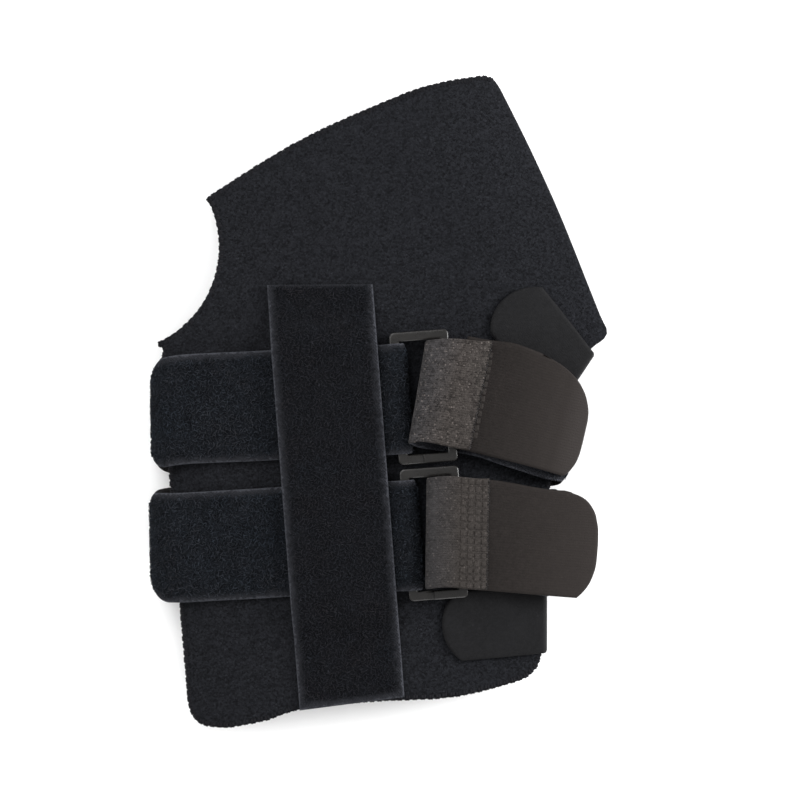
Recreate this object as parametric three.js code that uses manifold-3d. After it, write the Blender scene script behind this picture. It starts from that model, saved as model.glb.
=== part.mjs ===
// Ankle brace lying flat with its straps fastened. The leg runs along Y (hem at -Y, foot at +Y),
// the straps run along X and the front of the brace looks up along +Z. Millimetres.
import * as THREE from 'three';
import { mergeVertices } from 'three/addons/utils/BufferGeometryUtils.js';
import Module from 'manifold-3d';

const wasm = await Module();
wasm.setup();

// Driving dimensions
const GAP = 0.35;               // clear space between pieces that lie on one another
const NEOPRENE = 3;             // thickness of the sleeve wall
const SEAM = 4;                 // depth of the sewn edges, where the two panels meet
const CREST = 16.5;             // height of the sleeve's front under the straps
const BACK = 1.9;               // height of the sleeve's back above the floor there
const STRAP = { width: 37.5, thick: 1.5 };
const STRIP = { width: 36, thick: 1.5, x: -15.6, top: 40.6, bottom: -102.6 };
const RING = { x: 16.6, width: 20, height: 44.9, side: 3, end: 3.2, thick: 1.8, corner: 1.2 };
const HOOK = { width: 37.5, thick: 1.2 };
const CLOSURE = { width: 24, thick: 1.2, endRadius: 15, back: 12 };
const NOTCH = { x: -84.7, y: 59.1, radius: 35.6 };

// Heights of the layers at the rings, all taken at mid-thickness
const RUN_Z = CREST + GAP + STRAP.thick / 2;
const DOUBLED_Z = RUN_Z + STRAP.thick + GAP;
const RING_Z = RUN_Z + STRAP.thick / 2 + GAP + RING.thick / 2;
const OVER_BAR_Z = RING_Z + RING.thick / 2 + 1.5 * GAP + STRAP.thick / 2;
const FLOOR_Z = STRAP.thick / 2;

const v2 = (x, y) => new THREE.Vector2(x, y);
const v3 = (x, y, z) => new THREE.Vector3(x, y, z);
const lerp = THREE.MathUtils.lerp;
const radians = THREE.MathUtils.degToRad;

// A sheet with thickness: rows by columns of points on two faces, closed by a rim.
// Rows run along the sheet, columns across it; face 1 looks along (across x along).
function sheet(rows, columns, place) {
  const position = [];
  const index = [];
  for (const face of [0, 1]) {
    for (let i = 0; i < rows; i++) {
      for (let j = 0; j < columns; j++) position.push(...place(i, j, face).toArray());
    }
  }
  const at = (i, j, face) => face * rows * columns + i * columns + j;
  const quad = (a, b, c, d) => index.push(a, b, c, a, c, d);
  for (let i = 0; i + 1 < rows; i++) {
    for (let j = 0; j + 1 < columns; j++) {
      quad(at(i, j, 1), at(i, j + 1, 1), at(i + 1, j + 1, 1), at(i + 1, j, 1));
      quad(at(i, j, 0), at(i + 1, j, 0), at(i + 1, j + 1, 0), at(i, j + 1, 0));
    }
  }
  for (let i = 0; i + 1 < rows; i++) {
    const last = columns - 1;
    quad(at(i, 0, 0), at(i, 0, 1), at(i + 1, 0, 1), at(i + 1, 0, 0));
    quad(at(i, last, 1), at(i, last, 0), at(i + 1, last, 0), at(i + 1, last, 1));
  }
  for (let j = 0; j + 1 < columns; j++) {
    const last = rows - 1;
    quad(at(0, j, 1), at(0, j, 0), at(0, j + 1, 0), at(0, j + 1, 1));
    quad(at(last, j, 0), at(last, j, 1), at(last, j + 1, 1), at(last, j + 1, 0));
  }
  const geometry = new THREE.BufferGeometry();
  geometry.setAttribute('position', new THREE.Float32BufferAttribute(position, 3));
  geometry.setIndex(index);
  return geometry;
}

// Solids for joining and cutting
function solid(geometry) {
  const bare = geometry.clone();
  for (const name of Object.keys(bare.attributes)) if (name !== 'position') bare.deleteAttribute(name);
  const merged = mergeVertices(bare, 1e-4);
  return new wasm.Manifold(new wasm.Mesh({
    numProp: 3,
    vertProperties: new Float32Array(merged.attributes.position.array),
    triVerts: new Uint32Array(merged.index.array),
  }));
}

function geometryOf(manifold) {
  const mesh = manifold.getMesh();
  const geometry = new THREE.BufferGeometry();
  geometry.setAttribute('position', new THREE.Float32BufferAttribute(mesh.vertProperties, 3));
  geometry.setIndex([...mesh.triVerts]);
  return geometry;
}

function prism(shape, low, high, steps) {
  const geometry = new THREE.ExtrudeGeometry(shape, {
    depth: high - low, bevelEnabled: false, curveSegments: steps,
  });
  geometry.translate(0, 0, low);
  return solid(geometry);
}

// Sleeve: cross sections from the hem to the foot. left and right are the ends of a section, crest and
// back its highest front and lowest back, and the other four the heights of the panels at its ends.
const SECTIONS = [
  { y: -120, left: -72.6, right: 48.4, crest: 15.8, back: 0.9, lTop: 9.4, lBack: 3.6, rTop: 11.6, rBack: 3.6 },
  { y: -98, left: -72.6, right: 50.0, crest: 16.2, back: 1.7, lTop: 9.4, lBack: 4.2, rTop: 12.0, rBack: 4.6 },
  { y: -78, left: -72.6, right: 51.4, crest: CREST, back: BACK, lTop: 9.4, lBack: 4.4, rTop: 12.2, rBack: 5.0 },
  { y: -40, left: -72.6, right: 54.2, crest: CREST, back: BACK, lTop: 9.4, lBack: 4.4, rTop: 12.2, rBack: 5.0 },
  { y: -14, left: -72.6, right: 57.8, crest: CREST, back: BACK, lTop: 9.4, lBack: 4.4, rTop: 12.2, rBack: 5.0 },
  { y: 2, left: -72.6, right: 67.8, crest: CREST, back: BACK, lTop: 9.4, lBack: 4.4, rTop: 12.0, rBack: 5.0 },
  { y: 18, left: -72.6, right: 81.0, crest: CREST, back: BACK, lTop: 9.6, lBack: 4.2, rTop: 10.2, rBack: 4.8 },
  { y: 34, left: -70.0, right: 76.0, crest: 16.3, back: 0.9, lTop: 11.0, lBack: 2.6, rTop: 9.2, rBack: 4.2 },
  { y: 60, left: -58.0, right: 67.4, crest: 16.0, back: 0.3, lTop: 12.0, lBack: 1.4, rTop: 9.0, rBack: 4.0 },
  { y: 120, left: -33.0, right: 45.0, crest: 15.4, back: 0.3, lTop: 11.0, lBack: 1.4, rTop: 8.6, rBack: 3.6 },
];
const COLUMNS = Object.keys(SECTIONS[0]).slice(1);
const table = new THREE.CubicInterpolant(
  SECTIONS.map((row) => row.y),
  SECTIONS.flatMap((row) => COLUMNS.map((name) => row[name])),
  COLUMNS.length,
);

function section(y) {
  const values = table.evaluate(y);
  return Object.fromEntries(COLUMNS.map((name, k) => [name, values[k]]));
}

// Rise of a panel from its ends (0) to its middle (1), for a place from -1 to 1 across the section
const rise = (across, power) => 1 - Math.min(1, Math.abs(across)) ** power;

function frontZ(x, y) {
  const row = section(y);
  const share = (x - row.left) / (row.right - row.left);
  const edge = lerp(row.lTop, row.rTop, THREE.MathUtils.clamp(share, 0, 1));
  return lerp(edge, row.crest, rise(2 * share - 1, 2.6));
}

function backZ(x, y) {
  const row = section(y);
  const share = (x - row.left) / (row.right - row.left);
  const edge = lerp(row.lBack, row.rBack, THREE.MathUtils.clamp(share, 0, 1));
  return lerp(edge, row.back, rise(2 * share - 1, 3));
}

// Space between the panels, thinned at its top and bottom by inset
const SHARES = [-0.08, -0.012, 0.04, 0.085, 0.15, 0.24, 0.36, 0.5, 0.64, 0.76, 0.85, 0.915, 0.96, 1.012, 1.08];
const LEVELS = [-116, -106, -97, -88, -80, -72, -56, -36, -16, 0, 8, 14, 18, 24, 33, 46, 60, 76, 94, 112];

function between(inset) {
  return solid(sheet(LEVELS.length, SHARES.length, (i, j, face) => {
    const y = LEVELS[i];
    const row = section(y);
    const x = lerp(row.left, row.right, SHARES[j]);
    return v3(x, y, face ? frontZ(x, y) - inset : backZ(x, y) + inset);
  }));
}

// Outline of the lying sleeve, anticlockwise from the lower left corner
const HEM = [
  [-59, -108.3], [-46, -106.6], [-33.6, -103.6], [-11.7, -102.6], [12.4, -103.4], [25.2, -102.8],
  [39.6, -100.3],
];
const SLIT = [[50.3, -89.4], [50.9, -73.3], [53.4, -45], [55.6, -24], [59, -9], [66.6, 1.6]];
const HEEL = { start: radians(23.6), end: radians(-69.7) };

const outline = new THREE.Shape();
outline.moveTo(-72.2, -98);
outline.bezierCurveTo(-71.8, -104.5, -70.6, -107.8, ...HEM[0]);
outline.splineThru(HEM.slice(1).map((p) => v2(...p)));
outline.bezierCurveTo(45.6, -99.5, 50.4, -96, ...SLIT[0]);
outline.splineThru(SLIT.slice(1).map((p) => v2(...p)));
outline.lineTo(73.9, 10.4);
outline.lineTo(77, 13);
outline.bezierCurveTo(80.6, 14.6, 82.6, 16.2, 81.2, 19.4);
outline.splineThru([v2(79.8, 23), v2(69.3, 57), v2(60.3, 82), v2(51.8, 103)]);
outline.bezierCurveTo(50.2, 106.8, 48.6, 108.8, 44, 108.3);
outline.splineThru([v2(30.7, 106.6), v2(16.6, 103.2), v2(-19, 90.4), v2(-51.4, 74.2)]);
outline.absarc(NOTCH.x, NOTCH.y, NOTCH.radius, HEEL.start, HEEL.end, true);
outline.lineTo(-72.6, 20);
outline.lineTo(-72.6, -60);
outline.closePath();

// Plan of the hollow: past the open edges, short of the two seams
const hollow = new THREE.Shape();
hollow.moveTo(-72.6 + SEAM, -130);
hollow.lineTo(90, -130);
hollow.lineTo(90, 8);
hollow.lineTo(76, 15.5);
hollow.splineThru([v2(75.4, 22), v2(64.6, 56), v2(56, 81), v2(43, 120)]);
hollow.lineTo(-100, 120);
hollow.lineTo(-100, 28);
hollow.lineTo(-76, 25);
hollow.lineTo(-72.6 + SEAM, 20);
hollow.closePath();

const sleeve = between(0).intersect(prism(outline, -10, 30, 12))
  .subtract(between(NEOPRENE).intersect(prism(hollow, -10, 30, 8)));

// Ribbon of tape: stations along its middle line, each with its place, the skew of its width away from
// Y (degrees), the width left there and how far that width lies off the middle line. Face 1 is the
// outer, pile side of a strap.
function ribbon(stations, thick, columns = 3) {
  const faces = stations.map((station, i) => {
    const before = stations[Math.max(0, i - 1)].place;
    const after = stations[Math.min(stations.length - 1, i + 1)].place;
    const along = after.clone().sub(before).normalize();
    const skew = radians(station.skew);
    const across = v3(Math.sin(skew), Math.cos(skew), 0);
    const normal = across.clone().cross(along).normalize().multiplyScalar(thick / 2);
    return { ...station, across, normal };
  });
  return sheet(stations.length, columns, (i, j, face) => {
    const { place, across, normal, width, shift = 0 } = faces[i];
    return place.clone()
      .addScaledVector(across, shift + width * (j / (columns - 1) - 0.5))
      .addScaledVector(normal, face ? 1 : -1);
  });
}

// Half chord of a circle at a distance inside its edge
const halfChord = (radius, distance) => {
  const inside = Math.min(distance, radius);
  return Math.sqrt(Math.max(0.01, 2 * radius * inside - inside ** 2));
};

// Width left at a distance from a rounded end
const endWidth = (distance, { width, endRadius }) => Math.min(width, 2 * halfChord(endRadius, distance));

// Span from low to high across a ribbon as a station's width and shift
const span = (low, high) => ({ width: high - low, shift: (low + high) / 2 });

// Straps: each stretch is a curve in the XZ plane that ends at the stated y and skew, with its hem edge
// drawn in by trim
const line = (a, b) => new THREE.LineCurve(v2(...a), v2(...b));
const bend = (a, b, c, d) => new THREE.CubicBezierCurve(v2(...a), v2(...b), v2(...c), v2(...d));
const turn = (x, low, high, reach, from, to) => new THREE.EllipseCurve(
  x, (low + high) / 2, reach, (high - low) / 2, radians(from), radians(to), false,
);

function strap({ ringY, left, right, fold, end }) {
  const half = STRAP.width / 2;
  const bar = RING.x - RING.width / 2 + RING.side / 2;
  const nose = RING.side / 2 + GAP + STRAP.thick / 2 + 0.8;
  const farBar = RING.x + RING.width / 2;
  const stretches = [
    { curve: line([-24, RUN_Z], [bar, RUN_Z]), y: ringY, skew: 0, steps: 2 },
    { curve: turn(bar, RUN_Z, OVER_BAR_Z, nose, -90, 90), y: ringY, skew: 0, steps: 8 },
    { curve: bend([bar, OVER_BAR_Z], [4.4, OVER_BAR_Z], [5.4, DOUBLED_Z], [0.2, DOUBLED_Z]), y: ringY,
      skew: 0, steps: 5 },
    { curve: line([0.2, DOUBLED_Z], [-25, DOUBLED_Z]), y: left.runY, skew: 0, steps: 1 },
    { curve: bend([-25, DOUBLED_Z], [-30, DOUBLED_Z], [-32, RUN_Z], [-38, RUN_Z]), y: left.runY,
      skew: 0, steps: 4 },
    { curve: bend([-38, RUN_Z], [-48, RUN_Z], [-56, left.z], [left.x, left.z]), y: left.y,
      skew: left.runSkew, steps: 5 },
    { curve: turn(left.x, FLOOR_Z, left.z, left.reach, 90, 270), y: left.backY, skew: left.skew, steps: 16,
      corners: left },
    { curve: line([left.x, FLOOR_Z], [right.x, FLOOR_Z]), y: right.backY, skew: right.skew, steps: 4 },
    { curve: turn(right.x, FLOOR_Z, right.z, right.reach, -90, 90), y: right.y, skew: right.runSkew, steps: 12,
      corners: right },
    { curve: bend([right.x, right.z], [55, right.z], [50, right.runZ], [44, right.runZ]),
      y: lerp(right.y, ringY, right.shares[0]), skew: right.runSkew, steps: 4 },
    { curve: line([44, right.runZ], [36, right.runZ]), y: lerp(right.y, ringY, right.shares[1]),
      skew: lerp(right.runSkew, 6, 0.5), steps: 1 },
    { curve: bend([36, right.runZ], [32, right.runZ], [31, RUN_Z], [farBar, RUN_Z]),
      y: lerp(right.y, ringY, 0.94), skew: lerp(right.runSkew, 6, 0.85), steps: 4 },
    { curve: line([farBar, RUN_Z], [23.4, RUN_Z]), y: ringY, skew: 6, steps: 1 },
    { curve: bend([23.4, RUN_Z], [19, RUN_Z], [15.9, 20.5], [15.4, 22.8]), y: ringY,
      skew: fold.riseSkew, trim: fold.trim, steps: 7 },
    { curve: bend([15.4, 22.8], [fold.x, 24.8], [fold.x + 1.4, 25.7], [19, 25.5]), y: fold.y, skew: fold.skew,
      trim: 0.8 * fold.trim, steps: 6 },
    { curve: bend([19, 25.5], [25, 25], [30, 23.9], [end.x, end.z]), y: end.y, skew: end.skew, steps: 6 },
  ];
  const stations = [];
  let from = { y: ringY, skew: 0, trim: 0 };
  for (const { curve, y, skew, steps, corners, trim = 0 } of stretches) {
    for (let k = stations.length ? 1 : 0; k <= steps; k++) {
      const p = curve.getPoint(k / steps);
      const round = (radius) => {
        const inside = corners.reach - Math.abs(p.x - corners.x);
        return inside >= radius ? half : half - radius + halfChord(radius, inside);
      };
      stations.push({
        place: v3(p.x, lerp(from.y, y, k / steps), p.y), skew: lerp(from.skew, skew, k / steps),
        ...(corners ? span(-round(corners.hemCorner), round(corners.footCorner))
          : span(lerp(from.trim, trim, k / steps) - half, half)),
      });
    }
    from = { y, skew, trim };
  }
  return ribbon(stations, STRAP.thick, 2);
}

const strapUpper = strap({
  ringY: -0.3,
  left: { x: -66.9, z: 15, reach: 10, runY: 0.9, y: 1.9, backY: -1.6, runSkew: 3, skew: 4.4,
    footCorner: 5.5, hemCorner: 5 },
  right: { x: 59.8, z: 17, reach: 6.2, y: -13.4, backY: -16.6, runSkew: 19, skew: 14, runZ: 18.5,
    shares: [0.5, 0.78], footCorner: 8, hemCorner: 2 },
  fold: { x: 14.2, y: 1.5, riseSkew: 11.5, skew: 20, trim: 2.2 },
  end: { x: 35.9, y: -1.7, z: 22.5, skew: 15.5 },
});
const strapLower = strap({
  ringY: -46.7,
  left: { x: -68.6, z: 15, reach: 12, runY: -45.8, y: -45.4, backY: -43.2, runSkew: 3, skew: 4,
    footCorner: 2.5, hemCorner: 6.5 },
  right: { x: 54.4, z: 17, reach: 4.2, y: -54.2, backY: -54.2, runSkew: 10, skew: 10, runZ: 18.4,
    shares: [0.36, 0.66], footCorner: 2, hemCorner: 2 },
  fold: { x: 13.4, y: -45.6, riseSkew: 5, skew: 5, trim: 0 },
  end: { x: 34.7, y: -48.6, z: 22.8, skew: 5.8 },
});

// Pile strip: sewn down at both ends, raised where the straps run under it
const STRIP_ROWS = [
  { y: STRIP.top, lift: 0, skew: 94 },
  { y: 34, lift: 0, skew: 92 },
  { y: 30, lift: 0.6, skew: 90 },
  { y: 25.5, lift: 2.8, skew: 90 },
  { y: 21, lift: 3.75, skew: 90 },
  { y: 12, lift: 3.8, skew: 90 },
  { y: -8, lift: 3.8, skew: 90 },
  { y: -18, lift: 3.8, skew: 90 },
  { y: -24, lift: 3.7, skew: 90 },
  { y: -30, lift: 3.8, skew: 90 },
  { y: -48, lift: 3.8, skew: 90 },
  { y: -62, lift: 3.8, skew: 90 },
  { y: -68.4, lift: 3.75, skew: 90 },
  { y: -73, lift: 2.8, skew: 90 },
  { y: -77.5, lift: 0.6, skew: 90 },
  { y: -82, lift: 0.1, skew: 90 },
  { y: -90, lift: 0, skew: 89 },
  { y: STRIP.bottom, lift: 0, skew: 87 },
];
const stripStations = STRIP_ROWS.map(({ y, lift, skew }) => ({
  place: v3(STRIP.x, y, frontZ(-4, y) + GAP + STRIP.thick / 2 + lift), skew, width: STRIP.width,
}));
const pileStrip = ribbon(stripStations, STRIP.thick, 4);

// Rings
const half = { x: RING.width / 2, y: RING.height / 2 };
const ringShape = new THREE.Shape();
ringShape.moveTo(-half.x + RING.corner, -half.y);
ringShape.lineTo(half.x - RING.corner, -half.y);
ringShape.absarc(half.x - RING.corner, -half.y + RING.corner, RING.corner, -Math.PI / 2, 0);
ringShape.lineTo(half.x, half.y - RING.corner);
ringShape.absarc(half.x - RING.corner, half.y - RING.corner, RING.corner, 0, Math.PI / 2);
ringShape.lineTo(-half.x + RING.corner, half.y);
ringShape.absarc(-half.x + RING.corner, half.y - RING.corner, RING.corner, Math.PI / 2, Math.PI);
ringShape.lineTo(-half.x, -half.y + RING.corner);
ringShape.absarc(-half.x + RING.corner, -half.y + RING.corner, RING.corner, Math.PI, 1.5 * Math.PI);
const window = new THREE.Path();
window.moveTo(-half.x + RING.side, -half.y + RING.end);
window.lineTo(-half.x + RING.side, half.y - RING.end);
window.lineTo(half.x - RING.side, half.y - RING.end);
window.lineTo(half.x - RING.side, -half.y + RING.end);
window.closePath();
ringShape.holes.push(window);

function ring(y) {
  const geometry = new THREE.ExtrudeGeometry(ringShape, {
    depth: RING.thick - 0.6, bevelEnabled: true, bevelThickness: 0.3, bevelSize: 0.3, bevelOffset: -0.3,
    bevelSegments: 2, curveSegments: 4,
  });
  geometry.translate(RING.x, y, RING_Z - RING.thick / 2 + 0.3);
  return geometryOf(solid(geometry));
}

// Hook tabs on the straps' ends: heights along the tab, from under the strap's end to the rounded end,
// and the edges of that end on the hem and foot sides at distances from its tip
function hookTab({ start, heading, end, rows }) {
  const length = rows[rows.length - 1].along;
  const way = v3(Math.cos(radians(heading)), Math.sin(radians(heading)), 0);
  const edge = (distance, side) => {
    const k = end.findIndex((row) => row.from > distance);
    if (k < 0) return end[end.length - 1][side];
    return lerp(end[k - 1][side], end[k][side], (distance - end[k - 1].from) / (end[k].from - end[k - 1].from));
  };
  const stations = rows.map(({ along, z }) => ({
    place: v3(start.x, start.y, z).addScaledVector(way, along), skew: -heading,
    ...span(edge(length - along, 'hem'), edge(length - along, 'foot')),
  }));
  return ribbon(stations, HOOK.thick, 3);
}

const hookTabUpper = hookTab({
  start: { x: 27.4, y: 0.8 }, heading: -17.5,
  end: [
    { from: 0, hem: -8.5, foot: 0.2 }, { from: 0.4, hem: -12, foot: 3.1 },
    { from: 0.9, hem: -13.9, foot: 4.9 },
    { from: 1.6, hem: -15.6, foot: 6.4 }, { from: 2.4, hem: -17.4, foot: 8 },
    { from: 3.2, hem: -18.75, foot: 9.3 }, { from: 4.5, hem: -18.75, foot: 10.9 },
    { from: 6, hem: -18.75, foot: 12.5 },
    { from: 8.2, hem: -18.75, foot: 14.2 }, { from: 10.5, hem: -18.75, foot: 15.6 },
    { from: 13.5, hem: -18.75, foot: 17 }, { from: 17, hem: -18.75, foot: 18.1 },
    { from: 20.5, hem: -18.75, foot: 18.75 },
  ],
  rows: [
    { along: 0, z: 22.1 }, { along: 4, z: 21.6 }, { along: 9, z: 20.75 }, { along: 14, z: 20.35 },
    { along: 21, z: 20.3 }, { along: 26, z: 20.2 }, { along: 29.5, z: 20 }, { along: 33, z: 19.7 },
    { along: 36, z: 19.2 }, { along: 38.3, z: 18.85 }, { along: 40.5, z: 18.1 }, { along: 42, z: 17.4 },
    { along: 43.3, z: 16.6 }, { along: 44.1, z: 16.1 }, { along: 44.9, z: 15.5 }, { along: 45.6, z: 14.95 },
    { along: 46.1, z: 14.5 }, { along: 46.5, z: 14.2 },
  ],
});
const hookTabLower = hookTab({
  start: { x: 27, y: -47.4 }, heading: -9.3,
  end: [
    { from: 0, hem: -6.5, foot: 0.5 }, { from: 0.3, hem: -8.6, foot: 4.2 },
    { from: 0.6, hem: -9.9, foot: 6.2 },
    { from: 1, hem: -11.3, foot: 7.6 }, { from: 1.6, hem: -13, foot: 9.8 },
    { from: 2.3, hem: -14.4, foot: 11.2 }, { from: 3.2, hem: -15.8, foot: 12.5 },
    { from: 4.4, hem: -17.3, foot: 13.9 },
    { from: 5.8, hem: -18.75, foot: 15 }, { from: 7.4, hem: -18.75, foot: 15.9 },
    { from: 10.5, hem: -18.75, foot: 16.8 }, { from: 14.7, hem: -18.75, foot: 17.8 },
    { from: 19, hem: -18.75, foot: 18.75 },
  ],
  rows: [
    { along: 0, z: 22.1 }, { along: 4, z: 21.6 }, { along: 9, z: 20.75 }, { along: 14, z: 20.3 },
    { along: 22, z: 20.2 }, { along: 26.5, z: 20.1 }, { along: 30.8, z: 19.9 }, { along: 35, z: 19.6 },
    { along: 38.1, z: 19.35 }, { along: 39.7, z: 19.2 }, { along: 41.1, z: 19.05 }, { along: 42.3, z: 18.9 },
    { along: 43.2, z: 18.75 }, { along: 43.9, z: 18.65 }, { along: 44.5, z: 18.55 }, { along: 44.9, z: 18.5 },
    { along: 45.2, z: 18.45 }, { along: 45.5, z: 18.4 },
  ],
});

// Closure tabs: a front leg from the rounded end to the slit, a turn round the slit and a back leg
function closureTab({ tip, heading, reach, foldSkew }) {
  const way = v3(Math.cos(radians(heading)), Math.sin(radians(heading)), 0);
  const rest = GAP + CLOSURE.thick / 2;
  const over = (along, skew, height, pick) => {
    const across = v3(Math.sin(radians(skew)), Math.cos(radians(skew)), 0);
    const samples = [-0.5, -0.25, 0, 0.25, 0.5].map((share) => {
      const p = v3(tip.x, tip.y, 0).addScaledVector(way, along)
        .addScaledVector(across, share * endWidth(along, CLOSURE));
      return height(p.x, p.y);
    });
    return pick(...samples);
  };
  const stations = [];
  const add = (along, z, skew) => stations.push({
    place: v3(tip.x, tip.y, z).addScaledVector(way, along), skew, width: endWidth(along, CLOSURE),
  });
  for (const along of [0, 0.6, 1.8, 3.6, 6.3, 10, 16, 22, 28, reach - 3]) {
    const skew = lerp(-heading, foldSkew, along / reach);
    add(along, over(along, skew, frontZ, Math.max) + rest, skew);
  }
  const top = over(reach, foldSkew, frontZ, Math.max) + rest;
  const bottom = over(reach, foldSkew, backZ, Math.min) - rest;
  for (let k = 0; k <= 8; k++) {
    const angle = Math.PI * (0.5 - k / 8);
    add(reach + 1.4 * Math.cos(angle), lerp(bottom, top, 0.5 + 0.5 * Math.sin(angle)), foldSkew);
  }
  for (const along of [reach - 4, reach - 9, reach - CLOSURE.back]) {
    add(along, over(along, foldSkew, backZ, Math.min) - rest, foldSkew);
  }
  return ribbon(stations, CLOSURE.thick, 3);
}

const closureUpper = closureTab({ tip: { x: 47.2, y: 31.5 }, heading: -55, reach: 36.3, foldSkew: 38.5 });
const closureLower = closureTab({ tip: { x: 17, y: -79 }, heading: 0, reach: 34.4, foldSkew: 4.4 });

// Nodes and their materials
const brace = new THREE.Group();
brace.name = 'ankle_brace';

function piece(name, geometry, color, roughness, metalness = 0) {
  const mesh = new THREE.Mesh(geometry, new THREE.MeshStandardMaterial({ color, roughness, metalness }));
  mesh.name = name;
  brace.add(mesh);
}

piece('sleeve', geometryOf(sleeve), 0x232327, 0.95);
piece('pile_strip', pileStrip, 0x1b1b1e, 1);
piece('strap_upper', strapUpper, 0x1e2024, 1);
piece('strap_lower', strapLower, 0x1e2024, 1);
piece('ring_upper', ring(-0.3), 0x4a4745, 0.35, 0.9);
piece('ring_lower', ring(-46.7), 0x4a4745, 0.35, 0.9);
piece('hook_tab_upper', hookTabUpper, 0x3c3735, 0.7);
piece('hook_tab_lower', hookTabLower, 0x3c3735, 0.7);
piece('closure_tab_upper', closureUpper, 0x2c2c2c, 0.8);
piece('closure_tab_lower', closureLower, 0x2c2c2c, 0.8);

export default brace;
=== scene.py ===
"""Ankle brace lying flat: a neoprene sleeve with two pile straps fastened through metal rings."""
import math
import random
from bisect import bisect_right

import bmesh
import bpy
from bpy.props import FloatProperty, FloatVectorProperty, PointerProperty
from mathutils import Matrix, Vector, kdtree, noise


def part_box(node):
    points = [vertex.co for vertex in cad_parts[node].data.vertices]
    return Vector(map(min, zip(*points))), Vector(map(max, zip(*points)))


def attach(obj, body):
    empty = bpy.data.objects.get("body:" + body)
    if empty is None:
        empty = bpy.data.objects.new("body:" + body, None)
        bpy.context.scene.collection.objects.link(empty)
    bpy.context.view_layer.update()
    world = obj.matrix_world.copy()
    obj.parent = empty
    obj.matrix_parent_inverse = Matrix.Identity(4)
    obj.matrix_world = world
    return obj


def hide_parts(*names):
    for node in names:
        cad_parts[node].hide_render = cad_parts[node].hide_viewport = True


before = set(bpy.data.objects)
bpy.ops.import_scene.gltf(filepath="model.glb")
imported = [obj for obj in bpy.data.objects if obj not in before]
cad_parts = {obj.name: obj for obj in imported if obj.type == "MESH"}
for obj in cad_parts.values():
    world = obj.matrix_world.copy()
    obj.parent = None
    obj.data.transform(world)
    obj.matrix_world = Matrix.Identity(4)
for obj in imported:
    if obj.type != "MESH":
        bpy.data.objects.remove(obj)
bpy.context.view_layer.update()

bl_info = {
    "name": "Ankle brace",
    "version": (1, 0, 0),
    "blender": (4, 5, 0),
    "location": "View3D > Sidebar > Brace",
    "description": "Builds an ankle brace with its straps, rings and tabs round a packed model",
    "category": "Object",
}

MM = 0.001
RING_LOW, RING_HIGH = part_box("ring_upper")

# Sleeve sections from hem to foot, in mm: y, left end, right end, front crest, back,
# then the heights of the front and back panels at the left end and at the right end
SECTIONS = (
    (-120, -72.6, 48.4, 15.8, 0.9, 9.4, 3.6, 11.6, 3.6),
    (-98, -72.6, 50.0, 16.2, 1.7, 9.4, 4.2, 12.0, 4.6),
    (-78, -72.6, 51.4, 16.5, 1.9, 9.4, 4.4, 12.2, 5.0),
    (-40, -72.6, 54.2, 16.5, 1.9, 9.4, 4.4, 12.2, 5.0),
    (-14, -72.6, 57.8, 16.5, 1.9, 9.4, 4.4, 12.2, 5.0),
    (2, -72.6, 67.8, 16.5, 1.9, 9.4, 4.4, 12.0, 5.0),
    (18, -72.6, 81.0, 16.5, 1.9, 9.6, 4.2, 10.2, 4.8),
    (34, -70.0, 76.0, 16.3, 0.9, 11.0, 2.6, 9.2, 4.2),
    (60, -58.0, 67.4, 16.0, 0.3, 12.0, 1.4, 9.0, 4.0),
    (120, -33.0, 45.0, 15.4, 0.3, 11.0, 1.4, 8.6, 3.6),
)
# Heights of the layers at the rings, at mid-thickness
RUN_Z, DOUBLED_Z, RING_Z, OVER_BAR_Z, FLOOR_Z = 17.6, 19.45, 19.6, 21.775, 0.75
GAP = 0.35
RING_X = 16.6
# Straps: the y of the ring, the turns round the sleeve's left and right sides with the radii of the corners
# seen there, the fold at the ring and the end that is folded back. A trim draws the hem edge in
STRAPS = {
    "upper": {
        "ring_y": -0.3,
        "left": {"x": -66.9, "z": 15, "reach": 10, "run_y": 0.9, "y": 1.9, "back_y": -1.6, "run_skew": 3,
                 "skew": 4.4, "foot_corner": 5.5, "hem_corner": 5},
        "right": {"x": 59.8, "z": 17, "reach": 6.2, "y": -13.4, "back_y": -16.6, "run_skew": 9, "skew": 9,
                  "run_z": 18.5, "shares": (0.5, 0.78), "foot_corner": 8, "hem_corner": 2, "trim": 0},
        "fold": {"x": 14.2, "y": 1.5, "rise_skew": 11.5, "skew": 20, "trim": 2.2},
        "end": {"x": 35.9, "y": -1.7, "z": 22.5, "skew": 15.5},
    },
    "lower": {
        "ring_y": -46.7,
        "left": {"x": -68.6, "z": 15, "reach": 12, "run_y": -45.8, "y": -45.4, "back_y": -43.2, "run_skew": 3,
                 "skew": 4, "foot_corner": 2.5, "hem_corner": 6.5},
        "right": {"x": 54.4, "z": 17, "reach": 4.2, "y": -54.2, "back_y": -54.2, "run_skew": 10, "skew": 10,
                  "run_z": 18.4, "shares": (0.36, 0.66), "foot_corner": 2, "hem_corner": 2, "trim": 1.3},
        "fold": {"x": 13.4, "y": -45.6, "rise_skew": 5, "skew": 5, "trim": 0},
        "end": {"x": 34.7, "y": -48.6, "z": 22.8, "skew": 5.8},
    },
}
# Pile strip from its foot end to its hem end: y, height above the sleeve's crest line, turn of its width
STRIP_ROWS = (
    (40.6, 0, 94), (34, 0, 92), (30, 0.6, 90), (25.5, 2.8, 90), (21, 3.75, 90), (12, 3.8, 90),
    (-8, 3.8, 90), (-18, 3.8, 90), (-24, 3.7, 90), (-30, 3.8, 90), (-48, 3.8, 90), (-62, 3.8, 90),
    (-68.4, 3.75, 90), (-73, 2.8, 90), (-77.5, 0.6, 90), (-82, 0.1, 90), (-90, 0, 89), (-102.6, 0, 87),
)
STRIP_X = -15.6
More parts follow.
